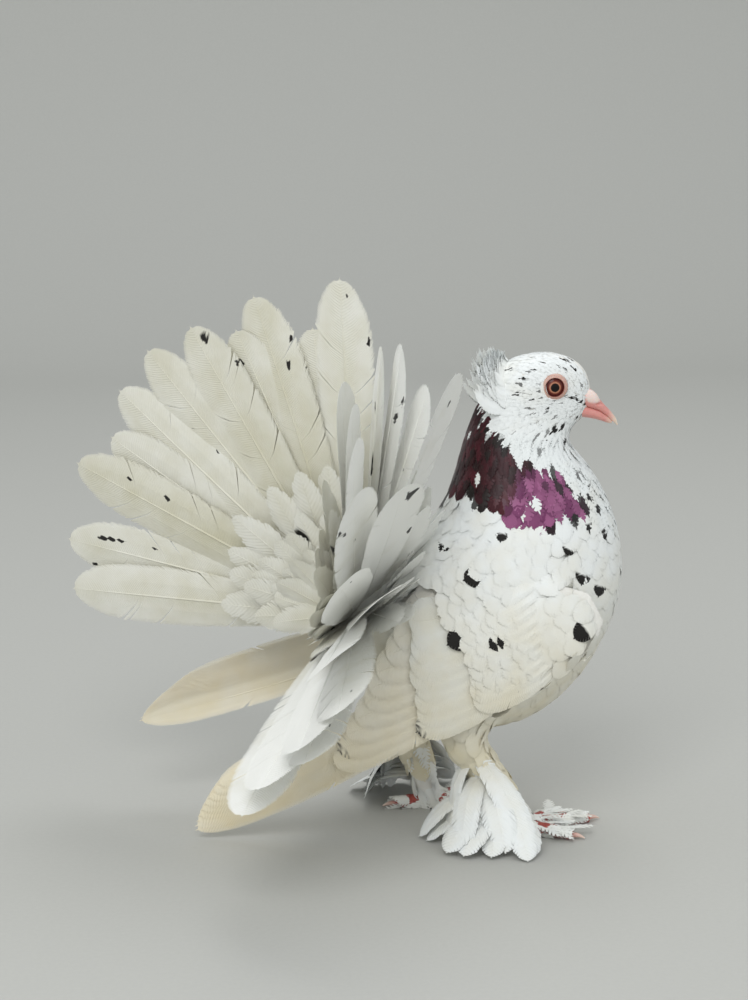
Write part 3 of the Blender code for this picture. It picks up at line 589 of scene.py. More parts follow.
print("the fused skin has", len(skin_triangles), "triangles")

# %% [markdown]
# ## The look of the skin
# Skin under a coat is dry and downy, so it is dull. Between the feathers the eye sees only a soft white.
# Inside the neck patch the skin is as dark as the feathers, or the patch would sparkle with white dots.

# %% Finish the skin
DOWN_MM = 2  # how wide a tuft of down is
skin_finish, tree, shader = new_finish("downy skin", {"Roughness": 0.75, "Specular IOR Level": 0.25})
patch = add(tree, "Attribute", {"attribute_name": "plum"}).outputs["Fac"]
place = add(tree, "TexCoord").outputs["Object"]
down = add(tree, "TexNoise", {"Scale": 1 / (DOWN_MM * MM), "Detail": 4.0}, {"Vector": place}).outputs["Fac"]
pale = add(tree, "Mix", {**BLEND, 6: paint("#e2dfd6"), 7: paint("#eeede8")}, {0: down}).outputs[2]
wine = add(tree, "Mix", {**BLEND, 6: paint("#12060a"), 7: paint("#2c0d16")}, {0: down}).outputs[2]
skin_colour = add(tree, "Mix", BLEND, {0: patch, 6: pale, 7: wine}).outputs[2]
tree.links.new(skin_colour, shader.inputs["Base Color"])
bump = add(tree, "Bump", {"Strength": 0.5, "Distance": 0.4 * MM}, {"Height": down})
tree.links.new(bump.outputs[0], shader.inputs["Normal"])
skin = make_piece(
    "skin", skin_points, skin_triangles, skin_finish,
    {"plum": np.clip(plum_share(skin_points) / 2 + 0.5, 0, 1)},
)

# %% [markdown]
# ## One feather, drawn flat
# A feather is a shaft with barbs on both sides. Every barb leaves the shaft at a slant and ends on the
# feather's outline. So we spread the ends evenly round the outline, step back from each to its root on
# the shaft, and make each barb just wide enough to touch its neighbours. Worn barbs come unzipped, so
# here and there neighbours part and leave a notch. The plan is flat and has no size: x is counted in
# half widths and y in lengths, so one plan serves many feathers. It is drawn a few times with other
# wear, so that no two neighbours look alike.

# %% The outline and its barbs
BROAD = (0.70, 0.80, 0.12)  # tail and wing quills: where the vane is full, where it closes, its base
ROUND = (0.55, 0.58, 0.30)  # body feathers
LANCE = (0.45, 0.30, 0.25)  # pointed neck feathers
SHAFT = ((-0.03, 1.0), (0.25, 0.85), (0.55, 0.6), (0.8, 0.36), (0.975, 0.12))  # place, thickness
SLANT = 0.9  # how steeply the barbs leave the shaft


def vane_width(t, shape):
    """The half width of a vane at the share t of its length, as a share of the fullest."""
    full, closing, base = shape
    opening = base + (1 - base) * np.sin(np.minimum(1.0, t / full) * math.pi / 2)
    ending = np.sqrt(np.maximum(0.0, 1 - (np.maximum(0.0, t - closing) / (1.005 - closing)) ** 2))
    return opening * ending


def barb_lines(draw, barbs, length, half, shape, wear, splits):
    """Where the barbs of one side grow on the shaft, where they end, and how long the outline is."""
    t = np.linspace(0.03, 1, 400)
    x, y = np.append(vane_width(t, shape) * half, 0.02 * half), np.append(t * length, length)
    run = np.concatenate([[0], np.cumsum(np.hypot(np.diff(x), np.diff(y)))])
    ends = np.interp(np.linspace(0.02, 1, barbs) * run[-1], run, np.arange(len(run)))
    end_x, end_y = (np.interp(ends, np.arange(len(run)), values) for values in (x, y))
    root_y = np.maximum(end_y - SLANT * end_x, 0.0) * np.minimum(1, end_y / (SLANT * end_x + 1e-6))
    root_y = np.maximum(root_y, 0.01 * length)
    root_y = np.maximum.accumulate(root_y + np.linspace(0, 0.01 * length, barbs))
    # Wear shortens the barbs, and a split pushes them apart.
    fray = 1 - wear * draw.random(barbs)
    push = np.zeros(barbs)
    for _ in range(splits):
        at, gap = draw.integers(int(0.25 * barbs), int(0.84 * barbs)), draw.uniform(0.4, 0.9)
        reach = np.arange(barbs) - at + 0.5
        push += np.sign(reach) * np.exp(-np.abs(reach) / (0.03 * barbs + 1)) * gap * run[-1] * 0.010
    out_x = np.maximum(end_x * fray - np.abs(push) * 0.3, 0.05)
    return root_y, out_x, root_y + (end_y - root_y) * fray + push, run[-1]


print("a tail vane is fullest at", BROAD[0], "of its length")

# %% [markdown]
# ## Barbs with a body
# Each barb becomes a thin solid with a low ridge, bent towards the tip, and the shaft a tapered rod. The
# numbers beside each point say on which side and how far up its barb grows, for the finish and the map.

# %% The feather plan


def feather_plan(draw, barbs, length, half, shape, wear=0.05, splits=2,
                 bends=((0, 1.1), (0.6, 1.1), (1, 0.4)), ridge=0.14, shaft=0.8):
    """A flat feather. Returns its points, its triangles, and for each point where its barb grows. Each
    bend is a place along the barbs and how wide they are there."""
    points, triangles, homes = [], [], []
    total = 0
    for side in (-1, 1):
        root_y, out_x, out_y, outline = barb_lines(draw, barbs, length, half, shape, wear, splits)
        for q, wide in bends:
            curve = 2 * q * (1 - q)
            bx = curve * out_x * 0.58 + q * q * out_x
            by = (1 - q) ** 2 * root_y + curve * (root_y + 0.32 * (out_y - root_y)) + q * q * out_y
            middle = np.column_stack([side * bx, by])
            gap = np.gradient(middle, axis=0) * 0.5 * wide
            step = np.linalg.norm(gap, axis=1, keepdims=True)
            gap *= np.minimum(1.0, 1.3 * outline / barbs / np.maximum(step, 1e-6))
            for flat, lift in ((middle - gap, -0.03), (middle + gap, 0.03), (middle, ridge * (1 - 0.5 * q))):
                home = np.full(barbs, side * 0.25), root_y / length, np.full(barbs, q)
                points.append(np.column_stack([flat / (half, length), np.full(barbs, lift)]))
                homes.append(np.column_stack(home))
        corners = total + np.arange(len(bends) * 3 * barbs).reshape(-1, 3, barbs)
        faces = []
        for here, onward in zip(corners, corners[1:]):
            for c, d in ((0, 1), (1, 2), (2, 0)):
                faces.append(np.stack([here[c], here[d], onward[d]], 1))
                faces.append(np.stack([here[c], onward[d], onward[c]], 1))
        faces += [corners[0, ::-1].T, corners[-1].T]
        triangles += [face[:, ::-1] for face in faces] if side < 0 else faces
        total += corners.size
    if shaft:
        for t, share in SHAFT:
            w = shaft * share
            ring = ((-w / half, t, 0.1), (0, t, -0.4 * w), (w / half, t, 0.1), (0, t, 0.8 * w + ridge))
            points.append(np.array(ring))
            homes.append(np.array([(0, max(t, 0), 0.5)] * 4))
        triangles.append(ring_triangles(len(SHAFT), 4) + total)
    return np.concatenate(points), np.concatenate(triangles), np.concatenate(homes)


def several_plans(seed, count, *sizes, **more):
    """The same plan drawn a few times with other wear."""
    draw = np.random.default_rng(seed)
    return [feather_plan(draw, *sizes, **more) for _ in range(count)]


quill_plans = several_plans(1, 6, 150, 165.0, 17.0, BROAD, wear=0.05, splits=4,
                            bends=((0, 1.12), (0.4, 1.12), (0.85, 1.1), (1, 0.5)), ridge=0.16, shaft=1.1)
print("a tail quill has", len(quill_plans[0][1]), "triangles")

# %% [markdown]
# ## Laying many feathers
# `lay` takes plans and a function that bends a flat feather into place, and returns one long list of
# points for all of them. The numbers beside each point (which feather it belongs to, and where on it)
# let later cells paint spots, tips and shafts.

# %% Laying feathers


def painted_shade_and_bounce(points):
    """How creamy plumage is painted: white above, and darker and warmer below, as painted shade and painted
    light bounced up from the ground.
    """
    return np.interp(points[:, 2], (30, 85, 140, 200), (0.75, 0.45, 0.12, 0.0))


def tip_marks(laid, marks, reach=9.0):
    """Black tips. Each mark is a place, and the share of a feather that is black. The feather whose tip
    lies nearest to the place gets it. Numbers run far below 0 and above 1, which keeps the edge sharp."""
    feather, y = laid["feather"], laid["flat"][:, 1]
    at_tip = y > 0.93
    count = np.bincount(feather[at_tip], minlength=feather.max() + 1)
    columns = laid["points"][at_tip].T
    tips = np.stack([np.bincount(feather[at_tip], column, len(count)) for column in columns], 1)
    tips /= np.maximum(count, 1)[:, None]
    dark = np.zeros(len(y))
    for *place, share in marks:
        gaps = np.linalg.norm(tips - place, axis=1) + 1e6 * (count == 0)
        if gaps.min() < reach:
            black = (y - 1 + share + 0.04 * np.sin(40 * laid["flat"][:, 0])) * 14
            dark = np.where(feather == gaps.argmin(), black, dark)
    return dark


def lay(plans, choice, bend):
    """Lays feathers. The choice is a plan for each feather, and bend places some of them in the bird's
    millimetres, with or without normals. Returns points, triangles, and for each point its feather, its
    flat place and its home."""
    parts, count = [], 0
    for number, (flat, triangles, home) in enumerate(plans):
        members = np.flatnonzero(choice == number)
        if not len(members):
            continue
        bent = bend(members, flat[None, :, 0], flat[None, :, 1], flat[None, :, 2])
        points, normals = bent if isinstance(bent, tuple) else (bent, bent * 0)
        steps = (np.arange(len(members)) * len(flat) + count)[:, None, None]
        parts.append((
            points.reshape(-1, 3), normals.reshape(-1, 3), (triangles[None] + steps).reshape(-1, 3),
            np.repeat(members, len(flat)), np.tile(flat, (len(members), 1)), np.tile(home, (len(members), 1)),
        ))
        count += len(members) * len(flat)
    keys = ("points", "normals", "triangles", "feather", "flat", "home")
    laid = {key: np.concatenate(column) for key, column in zip(keys, zip(*parts))}
    a, b, c = corners_of(laid["points"], laid["triangles"])
    if np.sum(a * np.cross(b, c)) < 0:  # the bend mirrored them, which turned them inside out
        laid["triangles"] = laid["triangles"][:, ::-1]
    return laid


PATCH = 0.003  # how wide a tuft's patch is on the OFBake map


def tuft_map(laid, centres):
    """The OFBake map of small feathers: a patch for each feather at its root's place."""
    flat = laid["flat"]
    return centres[laid["feather"]] + PATCH * np.column_stack([flat[:, 0] / 2, flat[:, 1] - 0.5])


def vane_map(laid, columns):
    """The OFBake map of large feathers: a column for each feather, and a patch for each barb."""
    home, flat = laid["home"], laid["flat"]
    u = (laid["feather"] % columns + 0.5 + home[:, 0]) / columns
    v = 0.02 + 0.95 * home[:, 1]
    return np.column_stack([u + PATCH * (np.abs(flat[:, 0]) - 0.5), v + PATCH * (home[:, 2] - 0.5)])


def make_feathers(name, laid, finish, uv, pick, cream_and_shade=0.0, dark=0.0, plum=0.0, painted_sheen=0.0,
                  soft=False):
    """A piece of laid feathers, with the numbers that the finish reads. There is a pick for each feather.
    Soft feathers shade as the body under them does."""
    numbers = {"pick": pick[laid["feather"]], "cream_and_shade": cream_and_shade, "dark": dark, "plum": plum, "painted_sheen": painted_sheen}
    numbers = {key: value * np.ones(len(laid["points"])) for key, value in numbers.items()}
    normals = laid["normals"] if soft else None
    return make_piece(name, laid["points"], laid["triangles"], finish, numbers, uv, soft, normals)


print("a tuft takes", PATCH, "of the map")

# %% [markdown]
# ## The fan
# A fantail carries about thirty tail feathers where other pigeons have twelve, raised in two rows like an
# open hand of cards. This bird's fan is turned to its left. The left half is flat and folded back, facing
# the camera, and the right half curves back until it is seen edge on. Each pair of numbers below is a
# feather's angle round the fan and its length.

# %% The fan's feathers
TAIL_ROOT = np.array([-72.0, 0.0, 113.0])
FAN_YAW, FAN_LEAN = math.radians(26), math.radians(6)
FAN_TILT, TAIL_WIDTH, ROW_STEP = 5.0, 34.0, 2.4
LEFT_FOLD, SPINE, RIGHT_SWEEP, RIGHT_ROLL = math.radians(37), 6.0, 50.0, 24.0
UPRIGHT = 38  # as far as this angle the front row of the right half stands straight up
OPENED, OPENED_FROM = 20.0, 45  # the feathers from this angle on are turned so far about their shafts
REAR_ROW = (
    (-87, 161), (-62, 168), (-46, 169), (-27, 169), (-12.5, 171), (4, 175), (13, 134), (25, 140),
    (38, 146), (51, 163), (65, 164), (79, 164), (93, 165), (106, 166), (117, 161),
)
FRONT_ROW = (
    (-77, 167), (-55, 160), (-37, 173), (-19, 158), (-5, 150), (15.5, 150), (22, 158), (30, 146),
    (37, 169), (52, 156), (69, 158), (88, 158), (103, 156),
)
fan_ahead = np.array([math.cos(FAN_YAW), math.sin(FAN_YAW), 0.0])
fan_right = np.array([math.sin(FAN_YAW), -math.cos(FAN_YAW), 0.0])
fan_up = -math.sin(FAN_LEAN) * fan_ahead + math.cos(FAN_LEAN) * UP
fan_ahead = math.cos(FAN_LEAN) * fan_ahead + math.sin(FAN_LEAN) * UP


def rear_sweep(angle):
    """How far a feather of the right half sweeps back in the rear row, in degrees."""
    return RIGHT_SWEEP * angle / 115


def front_sweep(angle):
    """The same in the front row."""
    if angle < UPRIGHT:
        return -3.0
    return rear_sweep(angle) * (1 - math.exp((UPRIGHT - angle) / 12)) - 3.0


def fan_direction(angle, sweep_of, lay_back=0.0):
    """The direction of a tail feather. A lay leans it out of its row, towards the rear."""
    turn = math.radians(angle)
    if angle < SPINE:
        side = math.cos(LEFT_FOLD) * fan_right + math.sin(LEFT_FOLD) * fan_ahead
        rear = math.sin(LEFT_FOLD) * fan_right - math.cos(LEFT_FOLD) * fan_ahead
        back = math.radians(lay_back)
    else:
        side, rear = fan_right, -fan_ahead
        back = math.radians(sweep_of(angle) + lay_back)
    return math.cos(back) * (fan_up * math.cos(turn) + side * math.sin(turn)) + rear * math.sin(back)


def fan_axes_of(angle, sweep_of, lay_back=0.0, twist=0.0):
    """The directions along, across and out of a tail feather."""
    along = fan_direction(angle, sweep_of, lay_back)
    near = angle + (-4 if angle < SPINE else 4)
    step = (fan_direction(near, sweep_of, lay_back) - along) * (near - angle)
    across = unit(step - along * np.dot(step, along))
    out = np.cross(across, along)
    roll = RIGHT_ROLL * math.exp(-angle / 60) if angle > SPINE else 0.0
    turn = math.radians(FAN_TILT + roll + twist)
    turned_across = across * math.cos(turn) + out * math.sin(turn)
    return along, turned_across, out * math.cos(turn) - across * math.sin(turn)


print("the fan has", len(REAR_ROW), "+", len(FRONT_ROW), "feathers")

# %% [markdown]
# ## Laying the fan
# Every tail feather gets a root, three directions and a curve of its own, drawn at random within limits.
# `lay_fan` bends the flat plans by them. The coverts of the tail use the same two functions.

# %% Lay the fan


def gather_fan(rows, draw):
    """Root, axes, size and curve of every fan feather, from rows of
    (angle, length, width, sweep, distance behind the middle, lay, lowest and highest bend)."""
    feathers = []
    for angle, length, width, sweep_of, behind, lay_back, low, high in rows:
        # Low on the near side the feathers are opened like a blind, so that their faces show.
        along, across, out = fan_axes_of(angle, sweep_of, lay_back, OPENED * (angle > OPENED_FROM))
        feathers.append((
            TAIL_ROOT - fan_ahead * behind, along, across, out, length, width / 2,
            draw.uniform(low, high), draw.uniform(-3.0, 3.0), draw.uniform(0.5, 2.2),
        ))
    return [np.array(column) for column in zip(*feathers)]


def lay_fan(feathers, plans, seed):
    """Bends flat feathers into the fan. Each is a little cupped, and its tip waves a little."""
    draw = np.random.default_rng(seed)
    count = len(feathers[0])
    wave = draw.uniform(0, 2 * math.pi, count)

    def place(m, x, y, z):
        root, along, across, out, length, half, bend, sway, cup = (column[m, None] for column in feathers)
        # The outer parts of a vane droop from the shaft, and its edge waves.
        drop = -cup * x**2 * np.minimum(1, 2 * y)
        ripple = 0.5 * np.abs(x) * y * np.sin(9 * y + wave[m, None] + 2 * x)
        h = bend * y**2 + drop + ripple + z
        side = x * half + sway * y**2
        return root + along * (length * y)[..., None] + across * side[..., None] + out * h[..., None]

    return lay(plans, draw.integers(0, len(plans), count), place)


fan_draw = random.Random(5)
fan_rows = [(a, n, TAIL_WIDTH, rear_sweep, ROW_STEP / 2, 0.0, -4, 3) for a, n in REAR_ROW]
fan_rows += [(a, n, TAIL_WIDTH - 1, front_sweep, -ROW_STEP / 2, 0.0, -1, 5) for a, n in FRONT_ROW]
fan = gather_fan(fan_rows, fan_draw)
fan_laid = lay_fan(fan, quill_plans, 6)

# %% [markdown]
# ## Specks on the tail
# This bird is splashed: some feathers carry black specks, each a short dash along the barbs. The larger
# ones are listed one by one and many little ones scattered between them. A barb is either stained or not, so
# the edge of a speck is as ragged as the barbs are.

# %% Paint the specks
SPECKS = (
    # feather, share along, share across, half length and half width in mm
    (20, 0.678, 0.24, 6.5, 2.6), (21, 0.712, 0.24, 9.0, 1.8), (24, 0.912, -0.30, 6.0, 1.8),
    (24, 0.593, -0.83, 4.0, 1.5), (21, 0.858, 0.77, 3.5, 1.2), (21, 0.771, 0.41, 3.0, 1.2),
    (9, 0.877, 0.73, 3.4, 1.2), (14, 0.236, 0.49, 3.6, 1.8), (10, 0.436, 0.24, 2.6, 1.1),
    (18, 0.905, -0.30, 3.2, 1.9), (5, 0.830, 0.82, 2.6, 1.3), (5, 0.960, 0.24, 2.2, 1.1),
    (3, 0.733, -0.98, 3.4, 1.5), (17, 0.848, 0.24, 3.2, 1.4), (17, 0.835, -0.97, 3.2, 1.2),
    (2, 0.757, 0.84, 2.8, 1.2), (2, 0.702, 0.86, 2.2, 1.1), (2, 0.647, 0.83, 2.0, 1.0),
    (1, 0.829, 0.39, 2.4, 1.4), (1, 0.722, 0.24, 2.4, 1.5), (1, 0.694, 0.42, 2.6, 1.5),
    (15, 0.885, 0.34, 3.6, 1.5), (15, 0.854, 0.37, 3.0, 1.3), (15, 0.823, 0.39, 3.4, 1.4),
    (15, 0.705, 0.41, 2.0, 1.2), (1, 0.633, -0.97, 2.2, 1.1), (1, 0.581, -0.94, 2.2, 1.3),
    (15, 0.911, -0.69, 2.0, 1.2), (15, 0.610, 0.24, 2.2, 1.1), (4, 0.861, 0.79, 2.0, 1.0),
    (18, 0.848, 0.24, 2.6, 1.2), (18, 0.766, 0.24, 2.4, 1.2), (4, 0.766, 0.96, 2.0, 1.0),
    (3, 0.955, 0.30, 3.5, 3.0), (3, 0.842, 0.80, 2.4, 1.3), (13, 0.550, 0.30, 3.0, 1.4),
)
SPECKLED = (4, 5, 7, 9, 10, 11, 12, 19, 20, 22, 23, 24, 25, 26, 27)  # feathers with little dashes
dash_draw = random.Random(19)
for feather in SPECKLED:
    for _ in range(3):
        up, over = dash_draw.uniform(0.45, 0.94), dash_draw.uniform(-0.7, 0.7)
        SPECKS += ((feather, up, over, dash_draw.uniform(2.0, 3.4), dash_draw.uniform(0.9, 1.6)),)


def speck_numbers(laid, specks, length, half, seed):
    """How dark each point is made by the specks."""
    draw = np.random.default_rng(seed)
    dark = np.where(np.isin(laid["feather"], [speck[0] for speck in specks]), -40.0, 0.0)
    ragged = draw.uniform(0.75, 1.3, 997)[(laid["home"][:, 1] * 5000).astype(int) % 997]
    for feather, up, over, long, wide in specks:
        mine = laid["feather"] == feather
        dy = (laid["flat"][:, 1] - up) * length[feather] / long
        dx = (laid["flat"][:, 0] - over) * half[feather] / wide
        near = 4 * (1 - ragged * np.hypot(dx, dy))
        dark = np.where(mine, np.maximum(dark, near), dark)
    return dark


def thin_shade(laid, base=0.26, root=0.32):
    """Painted shade on thin quills: whitest near the tip, and creamier towards the root and along the shaft.
    """
    x, y = np.abs(laid["flat"][:, 0]), laid["flat"][:, 1]
    return np.clip(base + root * (1 - y) - 0.15 * x, 0, 1)


PAINTED_LIGHT_FROM = 12  # degrees: from here on, the half that is seen edge on is painted whiter, as painted light shining through its thin vanes
fan_pick = np.random.default_rng(8).random(len(fan[4]))
near_half = np.array([angle > PAINTED_LIGHT_FROM for angle, *_ in fan_rows])
# The near half is painted whiter, painted light shining through its vanes where the body shades it, and the
# rest darker, painted shade. The pick adds tone that differs at random.
fan_tone_and_painted_light = 0.3 * fan_pick - 0.15 - 0.44 * near_half
fan_painted_shade_and_light = thin_shade(fan_laid, 0.46, 0.24) + fan_tone_and_painted_light[fan_laid["feather"]]
fan_dark = speck_numbers(fan_laid, SPECKS, fan[4], fan[5], 9)
fan_map = vane_map(fan_laid, len(fan[4]))
tail_fan = make_feathers("tail_fan", fan_laid, tail_plumage, fan_map, fan_pick, fan_painted_shade_and_light, fan_dark)

# %% [markdown]
# ## Coverts round the tail
# The roots of the quills are hidden by coverts: shorter, softer feathers, in front of the fan and behind
# it. They are laid like the quills, on shorter plans with looser barbs, in tiers that get shorter.

# %% The tail coverts
COVERT_SPECKS = (  # the same columns
    (19, 0.804, -0.44, 3.8, 1.7), (5, 0.765, 0.30, 2.8, 1.1), (8, 0.736, 0.49, 3.0, 1.2),
    (42, 0.682, -0.85, 2.4, 1.0),
)
COVERT_MARKS = ((-50.3, -30.6, 156.0, 0.10), (-54.0, -28.6, 132.3, 0.14), (-98.2, -59.9, 108.3, 0.08))
covert_plans = several_plans(11, 7, 42, 60.0, 13.0, (0.5, 0.55, 0.45), wear=0.16, splits=4,
                             bends=((0, 1.12), (0.6, 1.12), (1, 0.8)), shaft=0.6)
REAR_TIERS = ((13, 84, 24, 4.6, 7.0), (15, 62, 21, 7.0, 12.0), (15, 44, 18, 9.0, 18.0))
FRONT_TIERS = ((11, 96, 23, -5.0, -8.0), (13, 72, 20, -8.0, -14.0), (13, 46, 18, -10.0, -22.0))
TIER_SETS = (
    # tiers, first angle and span, shorter at the ends, how lengths vary, sweep, lowest and highest bend
    (REAR_TIERS, -84, 172, 0.20, (0.92, 1.06), rear_sweep, -2, 4),
    (FRONT_TIERS, -66, 142, 0.0, (0.92, 1.08), front_sweep, -3, 3),
)
covert_draw = random.Random(12)
covert_rows = []
for tiers, first, span, shorter, vary, sweep_of, low, high in TIER_SETS:
    for count, long, width, behind, lean in tiers:
        for i in range(count):
            angle = first + span * i / (count - 1) + covert_draw.uniform(-3, 3)
            length = long * (1 - shorter * abs(2 * i / (count - 1) - 1)) * covert_draw.uniform(*vary)
            covert_rows.append((angle, length, width, sweep_of, behind, lean, low, high))
coverts = gather_fan(covert_rows, covert_draw)
covert_laid = lay_fan(coverts, covert_plans, 13)
covert_pick = np.random.default_rng(14).random(len(coverts[4]))
in_front = covert_laid["feather"] >= sum(tier[0] for tier in REAR_TIERS)
covert_dark = speck_numbers(covert_laid, COVERT_SPECKS, coverts[4], coverts[5], 10)
covert_dark = np.maximum(tip_marks(covert_laid, COVERT_MARKS, 25.0), covert_dark)
# Painted shade on the rear coverts, and painted light on the front ones, which face away from the lamps, so
# they are whiter.
covert_painted_shade_and_light = thin_shade(covert_laid, 0.34, 0.24) - 0.38 * in_front
make_feathers(
    "tail_coverts", covert_laid, tail_plumage, vane_map(covert_laid, len(coverts[4])), covert_pick,
    covert_painted_shade_and_light, covert_dark,
)

# %% [markdown]
# ## The wings
# A folded wing shows its quills only at the back: the long primaries reach out to the wing tip, and the
# secondaries lie over them. Rows of coverts hide their roots. Every feather is a line in u and v, and
# `wing_place` bends it onto the wing.

# %% Wing feathers


def lay_wing(wing, feathers, plans, seed):
    """Bends flat feathers onto a wing. Each feather has its root and tip in u and v, its width, its
    level, how deep its root sinks, its tilt and its sag."""
    choice = np.random.default_rng(seed).integers(0, len(plans), len(feathers))
    root, tip = (np.array([f[i] for f in feathers], float) for i in (0, 1))
    width, level, sink, tilt, sag = np.array([f[2:] for f in feathers], float).T
    length = np.linalg.norm(tip - root, axis=1)
    along = unit(tip - root)
    across = np.column_stack([-along[:, 1], along[:, 0]])

    def place(m, x, y, z):
        half = width[m, None] / 2
        side = x * half + sag[m, None] * 4 * y * (1 - y)
        u, v = (
            root[m, None, i] + along[m, None, i] * length[m, None] * y + across[m, None, i] * side
            for i in (0, 1)
        )
        h = level[m, None] - sink[m, None] * np.maximum(0, 1 - y / 0.3) ** 1.5 - x * half * tilt[m, None]
        h = h + z - 0.5 * x**2
        return wing_place(wing, u, v, h)

    return lay(plans, choice, place)


print("wing axes", [axis.round(2).tolist() for axis in wing_axes("right")])

# %% [markdown]
# ## The rows of the wing
# Nine primaries and ten secondaries make the quills, and two rows of coverts lie over them. A step `i`
# runs through each row, and simple sums of it give the root and the tip of each feather.

# %% Fledge the wings


def wing_feathers(wing):
    """The quills and the two rows of long coverts of a wing."""
    draw = random.Random(21 if wing == "right" else 22)
    reach = np.linalg.norm(WINGS[wing][1] - WINGS[wing][0])
    spread = PRIMARY_SPREAD[wing]
    quills, covers = [], []
    for k in range(9):
        i = k * 5 / 8
        root, tip = (80 - i, -7 + 3.2 * i), (reach - 1.9 * i**1.55, -2.2 + spread * i)
        quills.append((root, tip, 17, -5.9 + 0.62 * i, 0.9, 0.03, -3.0 + 0.6 * i))
    for k in range(10):
        i = k * 6 / 9
        root, tip = (66 - 5.6 * i, -8 + 7.4 * i), (150 - 11 * i + draw.uniform(-2, 2), -1 + 8.0 * i)
        quills.append((root, tip, 22, -1.9 + 0.05 * k, 2.8, 0.08, 1.0))
    for k in range(9):
        i = k * 5 / 8
        root = (48 + 0.8 * i + draw.uniform(-1, 1), -8 + 8.6 * i)
        tip = (104 - 4.5 * i + draw.uniform(-2, 2), -5 + 10.0 * i)
        covers.append((root, tip, 21, 0.4, 4.0, 0.06, 0.0))
    for k in range(10):
        i = k * 5 / 9
        root = (22 - 2.6 * i + draw.uniform(-1, 1), -7 + 8.3 * i)
        tip = (70 - 2.6 * i + draw.uniform(-2, 2), -6 + 9.6 * i)
        covers.append((root, tip, 20, 1.8, 5.2, 0.06, 0.0))
    return quills, covers


wing_quill_plans = several_plans(23, 5, 105, 130.0, 9.5, BROAD, wear=0.03, splits=1,
                                 bends=((0, 1.12), (0.5, 1.12), (1, 0.6)), ridge=0.14, shaft=0.9)
wing_cover_plans = several_plans(24, 5, 44, 55.0, 11.0, (0.6, 0.72, 0.2), wear=0.03, splits=1,
                                 bends=((0, 1.12), (0.6, 1.12), (1, 0.85)), ridge=0.10, shaft=0.4)
WING_MARKS = ((-48.7, -41.2, 56.0, 0.06), (-72.9, -38.5, 49.1, 0.04), (-55.0, 46.0, 70.0, 0.06))
for number, wing in enumerate(("right", "left")):
    quills, covers = wing_feathers(wing)
    for label, feathers, plans, finish in (
        ("quills", quills, wing_quill_plans, quill_plumage),
        ("coverts", covers, wing_cover_plans, body_plumage),
    ):
        laid = lay_wing(wing, feathers, plans, 25 + number)
        pick = np.random.default_rng(27 + number).random(len(feathers))
        # Painted shade: creamier towards the quill roots and low on the bird, with painted light bounced from
        # the ground.
        cream_and_shade = thin_shade(laid, 0.0, 0.1) + painted_shade_and_bounce(laid["points"])
        make_feathers(
            f"wing_{wing}_{label}", laid, finish, vane_map(laid, len(feathers)), pick, cream_and_shade,
            tip_marks(laid, WING_MARKS, 16.0),
        )

# %% [markdown]
# ## Where small feathers grow
# Small feathers grow close and even, but not on a grid. So we throw random places at the skin and keep
# one only if no kept place is nearer than the spacing, which is wide on the belly and fine on the face.
# A hash of small boxes makes the search quick.

# %% Scatter feather roots


def crowded(here, need, boxes, key):
    """True if a kept place lies nearer than it may."""
    for dx in (-1, 0, 1):
        for dy in (-1, 0, 1):
            for dz in (-1, 0, 1):
                for other in boxes.get((key[0] + dx, key[1] + dy, key[2] + dz), ()):
                    if math.dist(here, other) < need:
                        return True
    return False


def spread_evenly(places, spacing):
    """Keeps the places that lie at least their spacing from all kept before them."""
    kept, boxes = [], {}
    keys = np.floor(places / float(spacing.max())).astype(int)
    for i, (key, here, need) in enumerate(zip(keys.tolist(), places.tolist(), spacing.tolist())):
        if not crowded(here, need, boxes, key):
            kept.append(i)
            boxes.setdefault(tuple(key), []).append(here)
    return np.array(kept)


def find_all(tree, points):
    """The number of the nearest point of a tree, for each point."""
    return np.array([tree.find(p)[1] for p in points.tolist()])


def tree_of(points):
    """A tree that finds the nearest of the points."""
    tree = KDTree(len(points))
    for i, p in enumerate(points.tolist()):
        tree.insert(p, i)
    tree.balance()
    return tree


grid_s, grid_turn = np.meshgrid(
    np.linspace(0.1, LAST - 0.1, 150), np.linspace(-3.13, 3.13, 72), indexing="ij",
)
grid_s, grid_turn = grid_s.ravel(), grid_turn.ravel()
grid_tailward = unit(body_place(grid_s - 0.05, grid_turn) - body_place(grid_s + 0.05, grid_turn))
grid_tree = tree_of(body_place(grid_s, grid_turn))
print(len(grid_s), "places know which way the tail is")

# %% [markdown]
# ## Seats on the skin
# Where the wing meets the breast the feathers of both run into each other, and no edge shows. So the
# coat is laid on the fused skin, with its creases relaxed. Each feather gets three seats on it, at its
# root, its middle and its tip, and so bends as the bird does.

# %% Relax a copy of the skin and find seats on it


def point_normals(points, triangles):
    """The outward direction at each point of a closed skin."""
    a, b, c = corners_of(points, triangles)
    face = np.cross(b - a, c - a)
    total = np.zeros_like(points)
    for i in range(3):
        np.add.at(total, triangles[:, i], face)
    return unit(total)


def relaxed(points, triangles, rounds):
    """The skin with each point drawn towards its neighbours, again and again."""
    a, b = np.concatenate([triangles[:, [0, 1]], triangles[:, [1, 2]], triangles[:, [2, 0]]]).T
    links = np.bincount(a, minlength=len(points))[:, None]
    for _ in range(rounds):
        total = np.stack([np.bincount(a, points[b, i], len(points)) for i in range(3)], 1)
        points = points + 0.6 * (total / links - points)
    return points


seat_points = relaxed(skin_points, skin_triangles, 14)
seat_normals = relaxed(point_normals(seat_points, skin_triangles), skin_triangles, 6)
seat_normals = unit(seat_normals)
seat_tree = tree_of(seat_points)


def seat(points):
    """The points moved onto the relaxed skin, and the outward directions there."""
    found = find_all(seat_tree, points)
    normal = seat_normals[found]
    return points - normal * np.sum((points - seat_points[found]) * normal, -1, keepdims=True), normal


